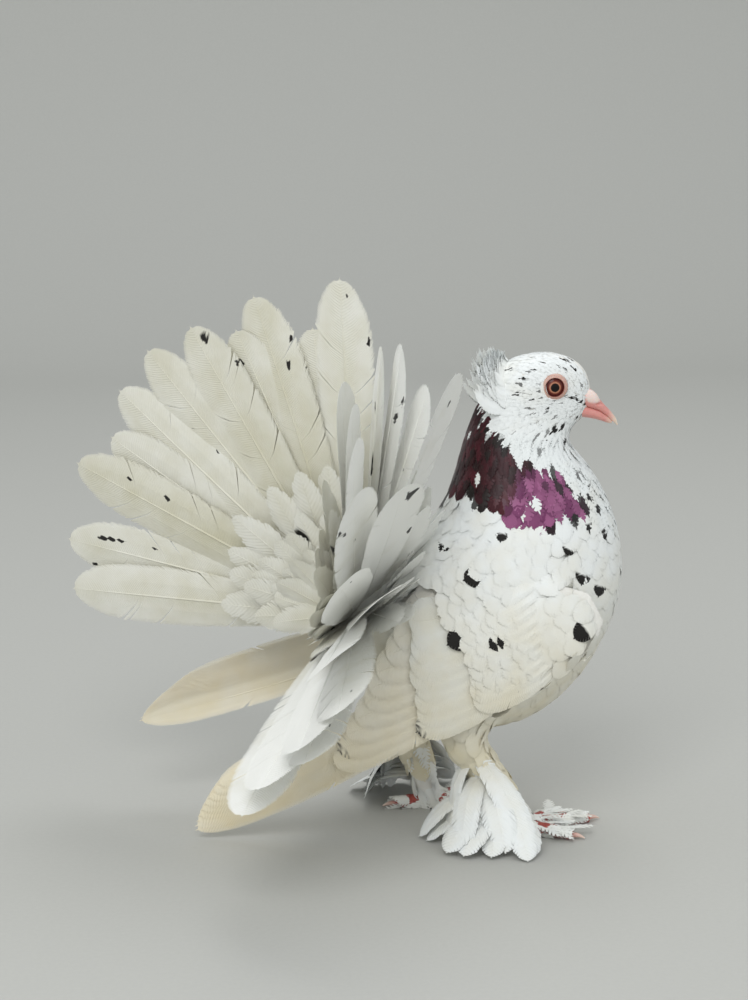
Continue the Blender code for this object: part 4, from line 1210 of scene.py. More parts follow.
def wing_share(points, wing):
    """How much of a place belongs to a wing, and its u on the wing."""
    wrist, along, across, out = WINGS[wing][0], *wing_axes(wing)
    u, v = (points - wrist) @ along, (points - wrist) @ across
    stand = (points - wing_sheet(wing, u, v)) @ out
    share = np.clip((11 - np.abs(stand)) / 3, 0, 1) * np.clip((u + 16) / 10, 0, 1)
    share = share * np.clip((v + 24) / 8, 0, 1) * np.clip((62 - v) / 8, 0, 1)
    return share * (points[:, 1] * wrist[1] > 0), u


def thigh_share(points, side):
    """How much of a place belongs to a thigh, and which way the thigh runs there."""
    line = smooth_line(thigh_line(side), 30)
    gaps = np.linalg.norm(points[:, None] - line[None], axis=2)
    nearest = gaps.argmin(1)
    share = np.clip((20 - gaps.min(1)) / 5, 0, 1) * np.clip((70 - points[:, 2]) / 8, 0, 1)
    return share, unit(np.gradient(line, axis=0))[nearest]


print("relaxed skin has", len(seat_points), "points")

# %% [markdown]
# ## The coat of the body
# Body feathers are long and round. From a step away they melt into one soft, white surface, because
# their loose ends lie flat on each other. A mesh of barbs would look hard and toothed, so each point
# shades as the smooth body under it does, bulging just a little from feather to feather.

# %% Sizes of the coat
SIZES = (
    # place s, spacing, length, half width, lift of the tip
    (0.0, 4.4, 17.0, 5.6, 1.0),
    (3.0, 4.8, 18.0, 6.6, 0.4),
    (9.5, 4.6, 17.0, 6.2, 0.3),
    (11.2, 3.6, 13.0, 3.8, 0.3),
    (12.6, 2.4, 11.5, 2.3, 0.4),
    (14.4, 2.0, 9.0, 1.8, 0.4),
    (16.0, 1.6, 6.4, 1.5, 0.15),
    (22.0, 1.55, 6.0, 1.45, 0.1),
)
BILL_ROOT = np.array([46.5, 0.0, 222.0])  # where the bill leaves the face
EYE_SKIN = (6.5, 5.8)  # the reach of the bare skin round the eye, ahead and up
COVERTS_START = 52.0  # how far along the wing the long coverts take over
HEAD_START = 14.4  # from this place s on the feathers get fine round the bill and the eye
skin_middles = seat_points[skin_triangles].mean(1)
skin_s = grid_s[find_all(grid_tree, skin_middles)]
a, b, c = corners_of(seat_points, skin_triangles)
skin_area = np.linalg.norm(np.cross(b - a, c - a), axis=1)


def size_at(s, column):
    """A column of SIZES at the places s."""
    rows = np.array(SIZES)
    return np.interp(s, rows[:, 0], rows[:, column])


print("feathers are", size_at(0.0, 2), "mm long at the tail and", size_at(22.0, 2), "mm on the crown")

# %% [markdown]
# ## Which way feathers point
# On the body they run towards the tail, on the face away from the bill, along a wing and down a thigh.
# The skin round the eye and at the bill stays bare.

# %% The flow of the coat


def near_bare_face(place):
    """True for places that stay bare: round the eye, and where the bill leaves the face."""
    x, y, z = place.T
    eye = np.hypot((x - EYE[0] - 0.5) / EYE_SKIN[0], (z - EYE[2]) / EYE_SKIN[1]) < 1
    bill = ((x - 51.5) / 6.0) ** 2 + (y / 5.2) ** 2 + ((z - 221.5) / 6.8) ** 2 < 1
    return (eye & (np.abs(y) > 6)) | bill


def flow_of_feathers(root, nearest):
    """Where feathers point, how much each belongs to a wing or a thigh, and its u on the wing."""
    on_head = np.clip((grid_s[nearest] - 13.2) / 3.0, 0, 1)[:, None]
    flow = grid_tailward[nearest] * (1 - on_head)
    flow += (unit(root - BILL_ROOT) + np.array([0, 0, -0.25])) * on_head
    on_wing, on_thigh, u = np.zeros((3, len(root)))
    for wing in WINGS:
        share, along_wing = wing_share(root, wing)
        u = np.where(share > on_wing, along_wing, u)
        on_wing = np.maximum(on_wing, share)
        flow = flow * (1 - share[:, None]) + wing_axes(wing)[0] * share[:, None]
    for side in FEET:
        share, down = thigh_share(root, side)
        on_thigh = np.maximum(on_thigh, share)
        flow = flow * (1 - share[:, None]) + down * share[:, None]
    return flow, on_wing, on_thigh, u


print("the face stays bare", EYE_SKIN, "mm round the eye")

# %% [markdown]
# ## Sow and seat the feathers
# Roots are drawn on the skin's triangles, large triangles getting more, and thinned by their spacing.
# Each kept feather then gets its three seats, its width, and how much the skin curves under it.

# %% Seat the coat


def coat_on_skin(low, high, count, seed):
    """Roots, seats and sizes of the feathers that grow between two rings."""
    draw = np.random.default_rng(seed)
    chance = skin_area * ((skin_s >= low) & (skin_s < high))
    cells = draw.choice(len(chance), count, p=chance / chance.sum())
    a, b, c = corners_of(seat_points, skin_triangles[cells])
    r1, r2 = np.sqrt(draw.random(count))[:, None], draw.random(count)[:, None]
    root, normal = seat(a * (1 - r1) + b * r1 * (1 - r2) + c * r1 * r2)
    nearest = find_all(grid_tree, root)
    s = grid_s[nearest]
    flow, on_wing, on_thigh, u = flow_of_feathers(root, nearest)
    along = unit(flow - normal * np.sum(flow * normal, -1, keepdims=True))
    turn, vary = np.radians(draw.normal(0, 5, count))[:, None], draw.uniform(0.88, 1.14, count)
    along = along * np.cos(turn) + np.cross(along, normal) * np.sin(turn)
    # Round the bill and the eye they are finest.
    from_bill = np.linalg.norm(root - BILL_ROOT, axis=-1) - 4
    from_eye = np.linalg.norm((root - EYE)[:, [0, 2]], axis=-1) - 7
    fine = np.where(s > HEAD_START, np.clip(0.5 + np.minimum(from_bill, from_eye) / 24, 0.5, 1.0), 1.0)
    length = size_at(s, 2) * fine * vary * (1 - 0.12 * np.maximum(on_wing, on_thigh))
    half = size_at(s, 3) * fine * vary * (1 - 0.05 * on_wing - 0.2 * on_thigh)
    clear = ~near_bare_face(root) & ~near_bare_face(root + along * length[:, None] * 0.8)
    clear &= ~((on_wing > 0.5) & (u > COVERTS_START)) & (root[:, 2] > 30)
    kept = np.flatnonzero(clear)
    kept = kept[spread_evenly(root[kept], (size_at(s, 1) * fine)[kept])]
    root, normal, along, nearest, s, length, half, on_wing, on_thigh, u = (
        n[kept] for n in (root, normal, along, nearest, s, length, half, on_wing, on_thigh, u))
    middle, normal_m = seat(root + along * length[:, None] / 2)
    tip, normal_t = seat(middle + unit(middle - root) * length[:, None] / 2)
    across = unit(np.cross(tip - root, normal_m))
    beside = [seat(middle + across * half[:, None] * k)[0] for k in (-1, 1)]
    sag = sum(np.sum((middle - place) * normal_m, -1) for place in beside) / 2
    over_coverts = 2.0 * on_wing * np.clip((u - 8) / 16, 0, 1)
    return {
        "root": root, "middle": middle, "tip": tip, "normals": (normal, normal_m, normal_t),
        "across": across, "cup": np.clip(2 * sag / half**2, -0.01, 0.12), "length": length, "half": half,
        "depth": coat_depth(s) * (1 - 0.15 * on_thigh),
        "lift": size_at(s, 4) * draw.uniform(0.4, 1.4, len(s)) + over_coverts,
        "pick": draw.random(len(s)), "s": s, "turn": grid_turn[nearest],
    }


def lay_on_skin(coat, plans, seed, members=None, dome=0.16):
    """Bends flat feathers through their three seats on the skin."""
    members = np.arange(len(coat["length"])) if members is None else members

    def place(k, x, y, z):
        m = members[k]
        root, middle, tip, across = (coat[key][m, None] for key in ("root", "middle", "tip", "across"))
        half, depth, lift, cup = (coat[key][m, None] for key in ("half", "depth", "lift", "cup"))
        n0, n1, n2 = (normal[m, None] for normal in coat["normals"])
        # These three weights draw a smooth curve through the seats.
        w0, w1, w2 = (w[..., None] for w in ((1 - y) * (1 - 2 * y), 4 * y * (1 - y), y * (2 * y - 1)))
        line = root * w0 + middle * w1 + tip * w2
        normal = unit(n0 * w0 + n1 * w1 + n2 * w2)
        side = x * half
        rise = 1 - np.maximum(0, 1 - y / 0.6) ** 2
        h = (depth + lift * y) * rise - 0.5
        h = h - 0.5 * cup * side**2 - 0.35 * x**2 * y + z * half / 7
        bulge = across * (dome * x)[..., None] + unit(tip - root) * (dome * (y - 0.5))[..., None]
        return line + across * side[..., None] + normal * h[..., None], unit(normal + bulge)

    laid = lay(plans, np.random.default_rng(seed).integers(0, len(plans), len(members)), place)
    laid["feather"] = members[laid["feather"]]
    return laid


print("feathers bend through 3 seats each")

# %% [markdown]
# ## Colours of the coat
# A feather is plum or white as a whole, by where its tip lies, so the edge of the patch is as ragged as
# the feathers are. Along it many are black, and the head has fine grey flecks.

# %% Paint the coat
FLECK_CHANCE = ((11.5, 13, 15, 17, 20, 22), (0, 0.04, 0.04, 0.05, 0.02, 0.0))  # places s, and chances


def plum_numbers(coat, laid, seed):
    """How plum, how bright with painted sheen, and how dark the points of a coat are."""
    draw = np.random.default_rng(seed)
    ahead = coat["tip"] - coat["root"]
    inside = plum_share(coat["root"] + ahead * 0.75)
    count = len(inside)
    stray = draw.normal(0, 1.5, count)
    plum = inside + stray > 0
    edge = np.exp(-((inside + stray - 0.8) / 2.0) ** 2)
    black_edge = draw.random(count) < 0.6 * edge
    plum &= ~((draw.random(count) < 0.06) & (inside < 14))  # a few feathers inside stay white
    feather, y = laid["feather"], laid["flat"][:, 1]
    dark = np.where(black_edge[feather], 0.92, 0.0)
    # The head and the front of the neck are finely flecked with grey.
    fleck = draw.random(count) < np.interp(coat["s"], *FLECK_CHANCE)
    fleck_dark = draw.uniform(0.3, 0.9, count)[feather] * (y > 0.5)
    dark = np.maximum(dark, np.where(fleck[feather], fleck_dark, 0))
    # Inside the patch a feather is darkest at its base, painted shade under the feathers that lie over it,
    # which gives the patch its depth.
    dark = np.maximum(dark, np.where(plum[feather], 0.5 * np.clip(1 - 1.4 * y, 0, 1), 0))
    return plum[feather] * 1.0, painted_sheen_share(coat["root"] + ahead * 0.6)[feather], dark


def body_map(coat, laid):
    """The OFBake map of the body: the ring's place up, the turn round it across."""
    across = 0.5 + 0.48 * coat["turn"] / math.pi
    return tuft_map(laid, np.column_stack([across, 0.02 + 0.96 * coat["s"] / LAST]))


print("flecks grow from ring", FLECK_CHANCE[0][0], "up")

# %% [markdown]
# ## Laying the coat
# The coat is laid in three parts, from long round feathers on the body to short pointed ones on the neck
# and tiny ones on the head. The large black marks are listed, each where a feather's tip lies.

# %% Lay the coat
COAT_PARTS = (
    # name, first ring, last ring, seeds, barbs, flat length and half width, shape, end of a barb, dome
    ("body", 0.0, 11.2, 60000, 14, 18.0, 6.4, ROUND, 0.9, 0.14),
    ("neck", 11.2, 14.8, 30000, 8, 11.0, 2.4, LANCE, 0.6, 0.24),
    ("head", 14.8, LAST + 1, 40000, 4, 6.0, 1.5, ROUND, 0.8, 0.12),
)
BODY_MARKS = (
    # place in mm, and the share of the feather that is black
    (-31.5, -43.6, 109.1, 0.50), (-22.9, -38.8, 136.6, 0.48), (-8.0, -49.2, 109.9, 0.28),
    (-23.6, -46.9, 80.1, 0.42), (37.8, -48.5, 110.5, 0.48), (38.4, -35.3, 132.6, 0.30),
    (51.0, -26.9, 125.5, 0.32), (29.3, -36.0, 151.7, 0.26), (-4.5, -36.2, 159.8, 0.26),
    (-32.8, -21.3, 150.9, 0.25), (9.0, -49.8, 84.1, 0.10), (20.8, -9.5, 244.5, 0.7),
    (15.3, -12.1, 240.9, 0.7), (10.0, -13.6, 236.1, 0.7), (7.3, -14.8, 228.7, 0.7),
    (31.7, -5.6, 245.7, 0.6), (37.7, -6.8, 241.7, 0.6), (22.8, -14.7, 221.7, 0.6),
    (14.8, -15.8, 226.2, 0.6), (39.9, -6.2, 213.7, 0.7), (31.2, -11.4, 210.7, 0.7),
    (24.4, -15.2, 209.5, 0.6), (33.8, -12.4, 200.5, 0.5), (46.1, -17.6, 179.4, 0.4),
    (49.8, -20.6, 167.0, 0.4), (44.8, -26.0, 163.1, 0.3), (52.3, -22.1, 156.8, 0.25),
    (37.4, -29.6, 164.6, 0.4), (45.4, -21.9, 172.6, 0.4),
)
# A thin black line runs from the eye down to the corner of the bill.
BODY_MARKS += tuple((EYE[0] + 8 + 3 * i, -10.5 + i, EYE[2] - 6 - 1.8 * i, 0.8) for i in range(4))
# The other side of the bird isn't known. It gets as many marks, each moved a little.
shift_draw = random.Random(51)
BODY_MARKS += tuple(
    (x + shift_draw.uniform(-6, 6), -y, z + shift_draw.uniform(-5, 3), share) for x, y, z, share in BODY_MARKS
)
for number, (name, low, high, count, barbs, long, wide, shape, barb_end, dome) in enumerate(COAT_PARTS):
    plans = several_plans(31 + number, 7, barbs, long, wide, shape, wear=0.08, splits=barbs // 8,
                          bends=((0, 1.25), (1, barb_end)), ridge=0.08, shaft=0.0)
    coat = coat_on_skin(low, high, count, 40 + number)
    finish, slot = (neck_plumage, "plum_plumage") if name == "neck" else (body_plumage, "white_plumage")
    for side in ("right", "left"):
        for end in ("rear", "front") if name == "body" else ("",):
            here = (coat["root"][:, 1] < 0) == (side == "right")
            if end:
                here &= (coat["root"][:, 0] < 8) == (end == "rear")
            laid = lay_on_skin(coat, plans, 44 + number, np.flatnonzero(here), dome)
            plum, painted_sheen, dark = plum_numbers(coat, laid, 47 + number)
            dark = dark + tip_marks(laid, BODY_MARKS, 6.0)
            # The coat gets creamier low down: painted shade and painted light bounced from the ground.
            make_feathers(
                f"coat_{name}_{side}_{end}".strip("_"), laid, finish, body_map(coat, laid), coat["pick"],
                painted_shade_and_bounce(laid["points"]), dark, plum, painted_sheen, soft=True,
            )
    print(len(coat["s"]), "feathers on the", name)

# %% [markdown]
# ## The crest
# Behind the crown, feathers grow the wrong way, up and forward, and make a rounded shell. They are slim
# and curled, stand in four rows, and some have a black streak at the edge.

# %% Curl the crest
CREST = (
    # share down a side, root x y z, the way it sets out, the way it curls, length
    (0.00, 2.0, 0.0, 243.0, -0.75, 0.00, 0.66, 0.10, 0.0, 1.00, 10.0),
    (0.25, 0.0, 5.5, 240.0, -0.88, 0.15, 0.35, -0.10, 0.0, 1.00, 13.0),
    (0.50, -1.0, 10.0, 235.0, -0.95, 0.25, 0.10, -0.30, 0.0, 0.95, 17.0),
    (0.75, 2.0, 13.0, 227.0, -1.00, 0.20, -0.05, -0.45, 0.0, 0.90, 20.0),
    (1.00, 3.0, 14.0, 220.0, -1.00, 0.15, -0.10, -0.50, 0.0, 0.85, 24.0),
)
CREST_ROWS = (27, 31, 27, 23)  # feathers in each row, from the outermost
CREST_HALF = 3.5  # half the width of a crest feather in mm
CREST_MIDDLE = np.array([12.0, 0.0, 228.0])


def crest_at(share, first):
    """Three columns of CREST, from the first, for shares from -1 on the right to 1 on the left."""
    rows = np.array(CREST)
    found = np.stack([np.interp(np.abs(share), rows[:, 0], rows[:, first + i]) for i in range(3)], 1)
    return found * np.column_stack([np.ones(len(share)), np.sign(share), np.ones(len(share))])


crest_draw = np.random.default_rng(80)
share = np.concatenate([np.linspace(-1, 1, n) for n in CREST_ROWS])
tier = np.repeat(np.arange(len(CREST_ROWS)), CREST_ROWS)
share = np.clip(share + crest_draw.normal(0, 0.025, len(share)), -1, 1)
root = crest_at(share, 1) + tier[:, None] * np.array([1.3, 0.0, 0.5])
set_out = unit(unit(crest_at(share, 4)) + crest_draw.normal(0, 0.06, (len(share), 3)))
curl_to = unit(crest_at(share, 7))
long = np.interp(np.abs(share), [row[0] for row in CREST], [row[10] for row in CREST])
long = long * (1 - 0.14 * tier) * crest_draw.uniform(0.85, 1.06, len(share))
rim_way = unit(crest_at(share + 0.03, 1) - crest_at(share - 0.03, 1))
across = unit(rim_way - set_out * np.sum(rim_way * set_out, -1, keepdims=True))
crest_plans = several_plans(81, 5, 12, 16.0, 2.6, (0.5, 0.6, 0.45), wear=0.12, splits=1,
                            bends=((0, 1.2), (0.7, 1.1), (1, 0.3)), ridge=0.10, shaft=0.2)


def curl_crest(m, x, y, z):
    """Bends flat feathers into the shell."""
    start, first, last, aside = (column[m, None] for column in (root, set_out, curl_to, across))
    reach = (long[m, None] * y)[..., None]
    bent = y[..., None] / 2
    middle = start + reach * (first * (1 - bent) + last * bent)
    heading = unit(first * (1 - 2 * bent) + last * 2 * bent)
    face = unit(np.cross(aside, heading))
    points = middle + aside * (CREST_HALF * x)[..., None] + face * (z * 0.5 - 0.4 * x**2)[..., None]
    outward = unit(face * np.sign(np.sum(face * (points - CREST_MIDDLE), -1, keepdims=True)))
    return points, unit(outward + aside * (0.25 * x)[..., None])


crest_laid = lay(crest_plans, crest_draw.integers(0, 5, len(share)), curl_crest)
streak = (np.abs(crest_laid["flat"][:, 0]) > 0.75) & (crest_laid["flat"][:, 1] < 0.85)
streak_share = np.interp(np.abs(share), (0.2, 0.6), (0.03, 0.26))  # few on top, more at the sides
streaked = (crest_draw.random(len(share)) < streak_share)[crest_laid["feather"]]
crest_map = np.column_stack([0.1 + 0.8 * (share + 1) / 2, 0.2 + 0.2 * tier])
make_feathers(
    "crest", crest_laid, body_plumage, tuft_map(crest_laid, crest_map), crest_draw.random(len(share)),
    0.03, 0.85 * (streak & streaked), soft=True,
)

# %% [markdown]
# ## The eyes
# The eye is a ball of which only the iris and pupil show. This bird's iris has a dark red-brown rim, a
# narrow cream ring and a round black pupil. We turn a fine dome and colour it by the distance from its
# axis, which every point carries as a number, so the rings are round from any side. A clear cornea would
# hide them in the export, so the dome itself has a clear coat, which gives it the glint of a wet eye.

# %% Turn the eyes
EYE_RADIUS, EYE_DEPTH = 6.4, 4.4
PUPIL_MM, RING_MM, RIM_MM = 2.05, 3.15, 4.9  # radii
IRIS_MM = 0.5  # how wide the flecks of the iris are

eye_finish, tree, shader = new_finish("wet eye", {
    "Roughness": 0.3, "IOR": 1.376, "Specular IOR Level": 0.2, "Coat Weight": 0.25, "Coat Roughness": 0.03,
})
radius = add(tree, "Attribute", {"attribute_name": "radius"}).outputs["Fac"]
place = add(tree, "TexCoord").outputs["Object"]
fleck = add(tree, "TexNoise", {"Scale": 1 / (IRIS_MM * MM), "Detail": 3.0}, {"Vector": place}).outputs["Fac"]
wander = add(tree, "Math", {"operation": "MULTIPLY_ADD", 1: 0.5, 2: -0.25}, {0: fleck}).outputs[0]
radius = add(tree, "Math", {"operation": "ADD"}, {0: radius, 1: wander}).outputs[0]
radius = add(tree, "Math", {"operation": "DIVIDE", 1: EYE_RADIUS}, {0: radius}).outputs[0]
ramp = add(tree, "ValToRGB", {}, {0: radius})
ramp.color_ramp.elements[0].color = ramp.color_ramp.elements[1].color = paint("#0b0605")
for stop, tone in (
    (PUPIL_MM, "#0b0605"), (PUPIL_MM + 0.2, "#7d4a38"), (2.5, "#bd8a6c"), (RING_MM - 0.25, "#9a5c45"),
    (RING_MM + 0.2, "#5c2018"), (4.2, "#4a150f"), (RIM_MM - 0.1, "#2a0b08"),
):
    element = ramp.color_ramp.elements.new(stop / EYE_RADIUS)
    element.color = paint(tone)
tree.links.new(ramp.outputs[0], shader.inputs["Base Color"])

for side, name in ((-1, "right"), (1, "left")):
    rings, sides = 26, 40
    a, t = np.meshgrid(np.linspace(0.02, math.pi / 2 + 0.5, rings), round_turn(sides), indexing="ij")
    spread = EYE_RADIUS * np.sin(a)
    dome = np.stack([spread * np.cos(t), side * EYE_DEPTH * np.cos(a), spread * np.sin(t)], -1)
    eye = make_piece(
        f"eye_{name}_ball", dome.reshape(-1, 3) + EYE * (1, side, 1), ring_triangles(rings, sides)[:, ::side],
        eye_finish, {"radius": spread.ravel()},
    )
    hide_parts(f"eye_{name}")

# %% [markdown]
# ## Bare skin round the eyes
# A ring of bare, peach-coloured skin frames the eye. It has a firm inner edge, the lids, and fine
# wrinkles that run round it and out from it. Thin, dry skin shines softly and lets a little red light
# through. It is turned like a flat bowl round the eye's axis, wider than it is high, and wavy.

# %% Shape the lids
BEAD_MM = 0.7  # how wide the beads between the wrinkles are
lid_finish, tree, shader = new_finish("bare eye skin", {
    "Roughness": 0.45, "Subsurface Weight": 0.15, "Subsurface Scale": 0.6 * MM,
})
place = add(tree, "TexCoord").outputs["Object"]
bead = add(tree, "TexVoronoi", {"Scale": 1 / (BEAD_MM * MM)}, {"Vector": place}).outputs["Distance"]
edge = add(tree, "Attribute", {"attribute_name": "edge"}).outputs["Fac"]
rosy = add(tree, "Mix", {**BLEND, 6: paint("#d6b3a5"), 7: paint("#bd9183")}, {0: bead}).outputs[2]
lid_colour = add(tree, "Mix", {**BLEND, 7: paint("#8a4438")}, {0: edge, 6: rosy}).outputs[2]
tree.links.new(lid_colour, shader.inputs["Base Color"])
bump = add(tree, "Bump", {"Strength": 0.6, "Distance": 0.2 * MM}, {"Height": bead})
tree.links.new(bump.outputs[0], shader.inputs["Normal"])

LID_PROFILE = (
    # radius from the eye's axis, height above the eyeball's middle, both in mm
    (5.2, 1.6), (4.75, 2.4), (4.65, 3.2), (4.85, 3.7), (5.15, 3.85), (5.5, 3.6), (5.8, 3.4), (6.1, 3.3),
    (6.4, 2.9), (6.7, 2.2), (7.0, 1.2),
)
for side, name in ((-1, "right"), (1, "left")):
    turn = round_turn(72)
    rings, edges = [], []
    for k, (radius, height) in enumerate(smooth_line(LID_PROFILE, 27)):
        skinward = np.clip((radius - 5.0) / 2.5, 0, 1)
        wave = 0.10 * skinward * np.sin(13 * turn + k) + 0.06 * skinward * np.sin(29 * turn + 2 * k)
        wide = radius * (1 + 0.03 * skinward)
        fall = 0.055 * skinward * (radius * np.sin(turn)) ** 2 * 0.25
        ring = [wide * np.cos(turn), side * (height + wave - fall), radius * np.sin(turn)]
        rings.append(np.stack(ring, 1) + EYE * (1, side, 1))
        edges.append(np.full(len(turn), float(np.clip(1 - abs(radius - 4.75) / 0.45, 0, 1))))
    triangles = ring_triangles(len(rings), len(turn))[: -2 * (len(turn) - 2), ::side]
    edge_numbers = {"edge": np.concatenate(edges)}
    make_piece(f"eye_{name}_lids", np.concatenate(rings), triangles, lid_finish, edge_numbers)

# %% [markdown]
# ## The bill
# The bill is horn over bone, pink because blood shows through it, and paler at the tip where the horn
# is thick. Horn is smooth and shines softly, with fibres along it. Soft, powdery skin called the cere
# lies over the nostrils. One finish shows all three, by numbers for the tip and for the cere.

# %% The finish of the bill
# Real fibres of horn and dust on a cere are far finer. They are drawn coarser so that they show.
FIBRE_MM = (2.083, 0.694, 2.083)
DUST_MM = 0.5
bill_finish, tree, shader = new_finish("bill horn", {
    "Roughness": 0.38, "IOR": 1.54, "Subsurface Weight": 0.12, "Subsurface Scale": 1.0 * MM,
})
tip_share, cere_share = (
    add(tree, "Attribute", {"attribute_name": key}).outputs["Fac"] for key in ("tip", "cere")
)
place = add(tree, "TexCoord").outputs["Object"]
fibre_scale = [1 / (size * MM) for size in FIBRE_MM]
flow = add(tree, "Mapping", {"Scale": fibre_scale}, {"Vector": place}).outputs[0]
fibre = add(tree, "TexNoise", {"Scale": 1.0, "Detail": 4.0}, {"Vector": flow}).outputs["Fac"]
pink = add(tree, "Mix", {**BLEND, 6: paint("#cf8079"), 7: paint("#dda097")}, {0: fibre}).outputs[2]
horn = add(tree, "Mix", {**BLEND, 7: paint("#ead9c4")}, {0: tip_share, 6: pink}).outputs[2]
powder = add(tree, "TexNoise", {"Scale": 1 / (DUST_MM * MM), "Detail": 3.0}, {"Vector": place}).outputs["Fac"]
cere = add(tree, "Mix", {**BLEND, 6: paint("#e6c8be"), 7: paint("#f2e6dd")}, {0: powder}).outputs[2]
bill_colour = add(tree, "Mix", BLEND, {0: cere_share, 6: horn, 7: cere}).outputs[2]
tree.links.new(bill_colour, shader.inputs["Base Color"])
bump = add(tree, "Bump", {"Strength": 0.35, "Distance": 0.12 * MM}, {"Height": fibre})
tree.links.new(bump.outputs[0], shader.inputs["Normal"])
print("bill horn made")

# %% [markdown]
# ## The form of the bill
# Each half of the bill is a loft: rings of points, from the face to the tip, that stand between an upper
# and a lower line. The cere is then pushed out of the upper half on both sides, and a nostril sunk in
# below it.

# %% Shape the bill
UPPER_BILL = (
    # upper edge x and z, lower edge x and z, half width
    (44.0, 231.5, 40.0, 222.8, 5.4),
    (48.0, 229.3, 44.5, 220.6, 5.0),
    (52.0, 225.4, 49.0, 219.0, 4.4),
    (56.0, 220.6, 53.0, 217.6, 3.5),
    (59.5, 217.0, 57.0, 214.8, 2.8),
    (62.3, 213.2, 60.8, 211.4, 1.9),
    (63.4, 210.0, 62.9, 209.6, 0.6),
)
LOWER_BILL = (
    (40.5, 222.5, 38.5, 214.5, 4.6),
    (45.5, 219.9, 44.5, 213.9, 4.3),
    (50.0, 218.5, 50.0, 213.0, 3.7),
    (54.0, 216.8, 54.0, 211.9, 3.0),
    (58.0, 213.9, 57.8, 210.6, 2.1),
    (60.4, 211.6, 59.8, 210.3, 0.9),
)


def bill_form(rows, count, sides, mate):
    """The rings of one half of the bill. Its sides stand upright where it meets its mate, which lies
    above (1) or below (-1)."""
    rings = []
    turn = round_turn(sides)
    for tx, tz, lx, lz, half in smooth_line(rows, count):
        top, low = np.array([tx, 0, tz]), np.array([lx, 0, lz])
        up = (top - low) / 2
        power = np.where(np.cos(turn) * mate > 0, 0.45, 1.0)
        wide = half * np.sign(np.sin(turn)) * np.abs(np.sin(turn)) ** power
        rings.append((top + low) / 2 + up * np.cos(turn)[:, None] + np.stack([0 * turn, wide, 0 * turn], 1))
    return np.array(rings)


CERE_SIZE, NOSTRIL_SIZE = (5.8, 3.7, 4.3), (3.4, 1.8, 1.0)  # reach in x, y and z


def push_out(points, centre, radii, height):
    """Raises a soft lobe on a form, or sinks a pit where the height is below 0."""
    inside = np.maximum(0, 1 - np.linalg.norm((points - centre) / radii, axis=-1) ** 2)
    outward = unit(points - (50.0, 0.0, 221.0))
    return points + outward * (height * inside**1.5)[..., None], inside


upper = bill_form(UPPER_BILL, 60, 48, -1)
cere_numbers = np.zeros(upper.shape[:2])
for side in (-1, 1):
    upper, inside = push_out(upper, (49.6, side * 3.4, 225.6), CERE_SIZE, 1.25)
    cere_numbers = np.maximum(cere_numbers, inside)
    upper, _ = push_out(upper, (53.6, side * 3.9, 221.2), NOSTRIL_SIZE, -0.9)
tip_numbers = np.clip((upper[..., 0] - 57.5) / 5, 0, 1)
upper_bill = make_piece(
    "bill_upper_horn", upper.reshape(-1, 3), ring_triangles(60, 48)[:, ::-1], bill_finish,
    {"tip": tip_numbers.ravel(), "cere": np.clip(cere_numbers * 2.2, 0, 1).ravel()},
)
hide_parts("bill_upper")
lower = bill_form(LOWER_BILL, 50, 40, 1)
lower[..., 2] += 0.35  # the bill is shut
lower_bill = make_piece(
    "bill_lower_horn", lower.reshape(-1, 3), ring_triangles(50, 40)[:, ::-1], bill_finish,
    {"tip": np.clip((lower[..., 0] - 56) / 5, 0, 1).ravel(), "cere": np.zeros(lower.shape[:2]).ravel()},
)
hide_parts("bill_lower")

# %% [markdown]
# ## The toes
# Toes are covered in horny scales: broad plates on top and small round ones at the sides. They are dry,
# so their shine is dull and broken at each edge. The toes are tubes with a row of shallow steps, and the
# finish adds the small scales.

# %% Shape the toes
SCALE_MM = 1.1  # how wide a small scale is
toe_finish, tree, shader = new_finish("scaly toes", {
    "Roughness": 0.5, "IOR": 1.5, "Subsurface Weight": 0.08,
})
place = add(tree, "TexCoord").outputs["Object"]
scale_settings = {"Scale": 1 / (SCALE_MM * MM), "feature": "DISTANCE_TO_EDGE"}
scale = add(tree, "TexVoronoi", scale_settings, {"Vector": place})
shallow = add(tree, "MapRange", {1: 0.0, 2: 0.12}, {0: scale.outputs["Distance"]}).outputs[0]
toe_red = add(tree, "Mix", {**BLEND, 6: paint("#7c2a26"), 7: paint("#b8564c")}, {0: shallow}).outputs[2]
tree.links.new(toe_red, shader.inputs["Base Color"])
bump = add(tree, "Bump", {"Strength": 0.6, "Distance": 0.25 * MM}, {"Height": shallow})
tree.links.new(bump.outputs[0], shader.inputs["Normal"])


def toe_form(side, heading, length):
    """One toe, with its row of steps."""
    steps = np.linspace(0, 1, 40)
    radii = np.interp(steps, (0, 0.3, 0.65, 1), (4.6, 3.8, 3.4, 2.5))
    radii = radii * (1 + 0.05 * np.abs(np.sin(steps * length * 0.9)))
    return tube_skin(smooth_line(toe_line(side, heading, length), 40), radii, 16, floor=0.0)


for side in ("right", "left"):
    points, triangles = joined(toe_form(side, heading, length) for heading, length in TOES)
    toes = make_piece(f"toes_{side}", points, triangles, toe_finish)
    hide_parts(f"foot_{side}")

# %% [markdown]
# ## Claws
# Claws are horn like the bill, with the same soft shine: pink at the root and paler at the tip. The
# frame's own claws are plain, so each is drawn again, curved, with more sides.

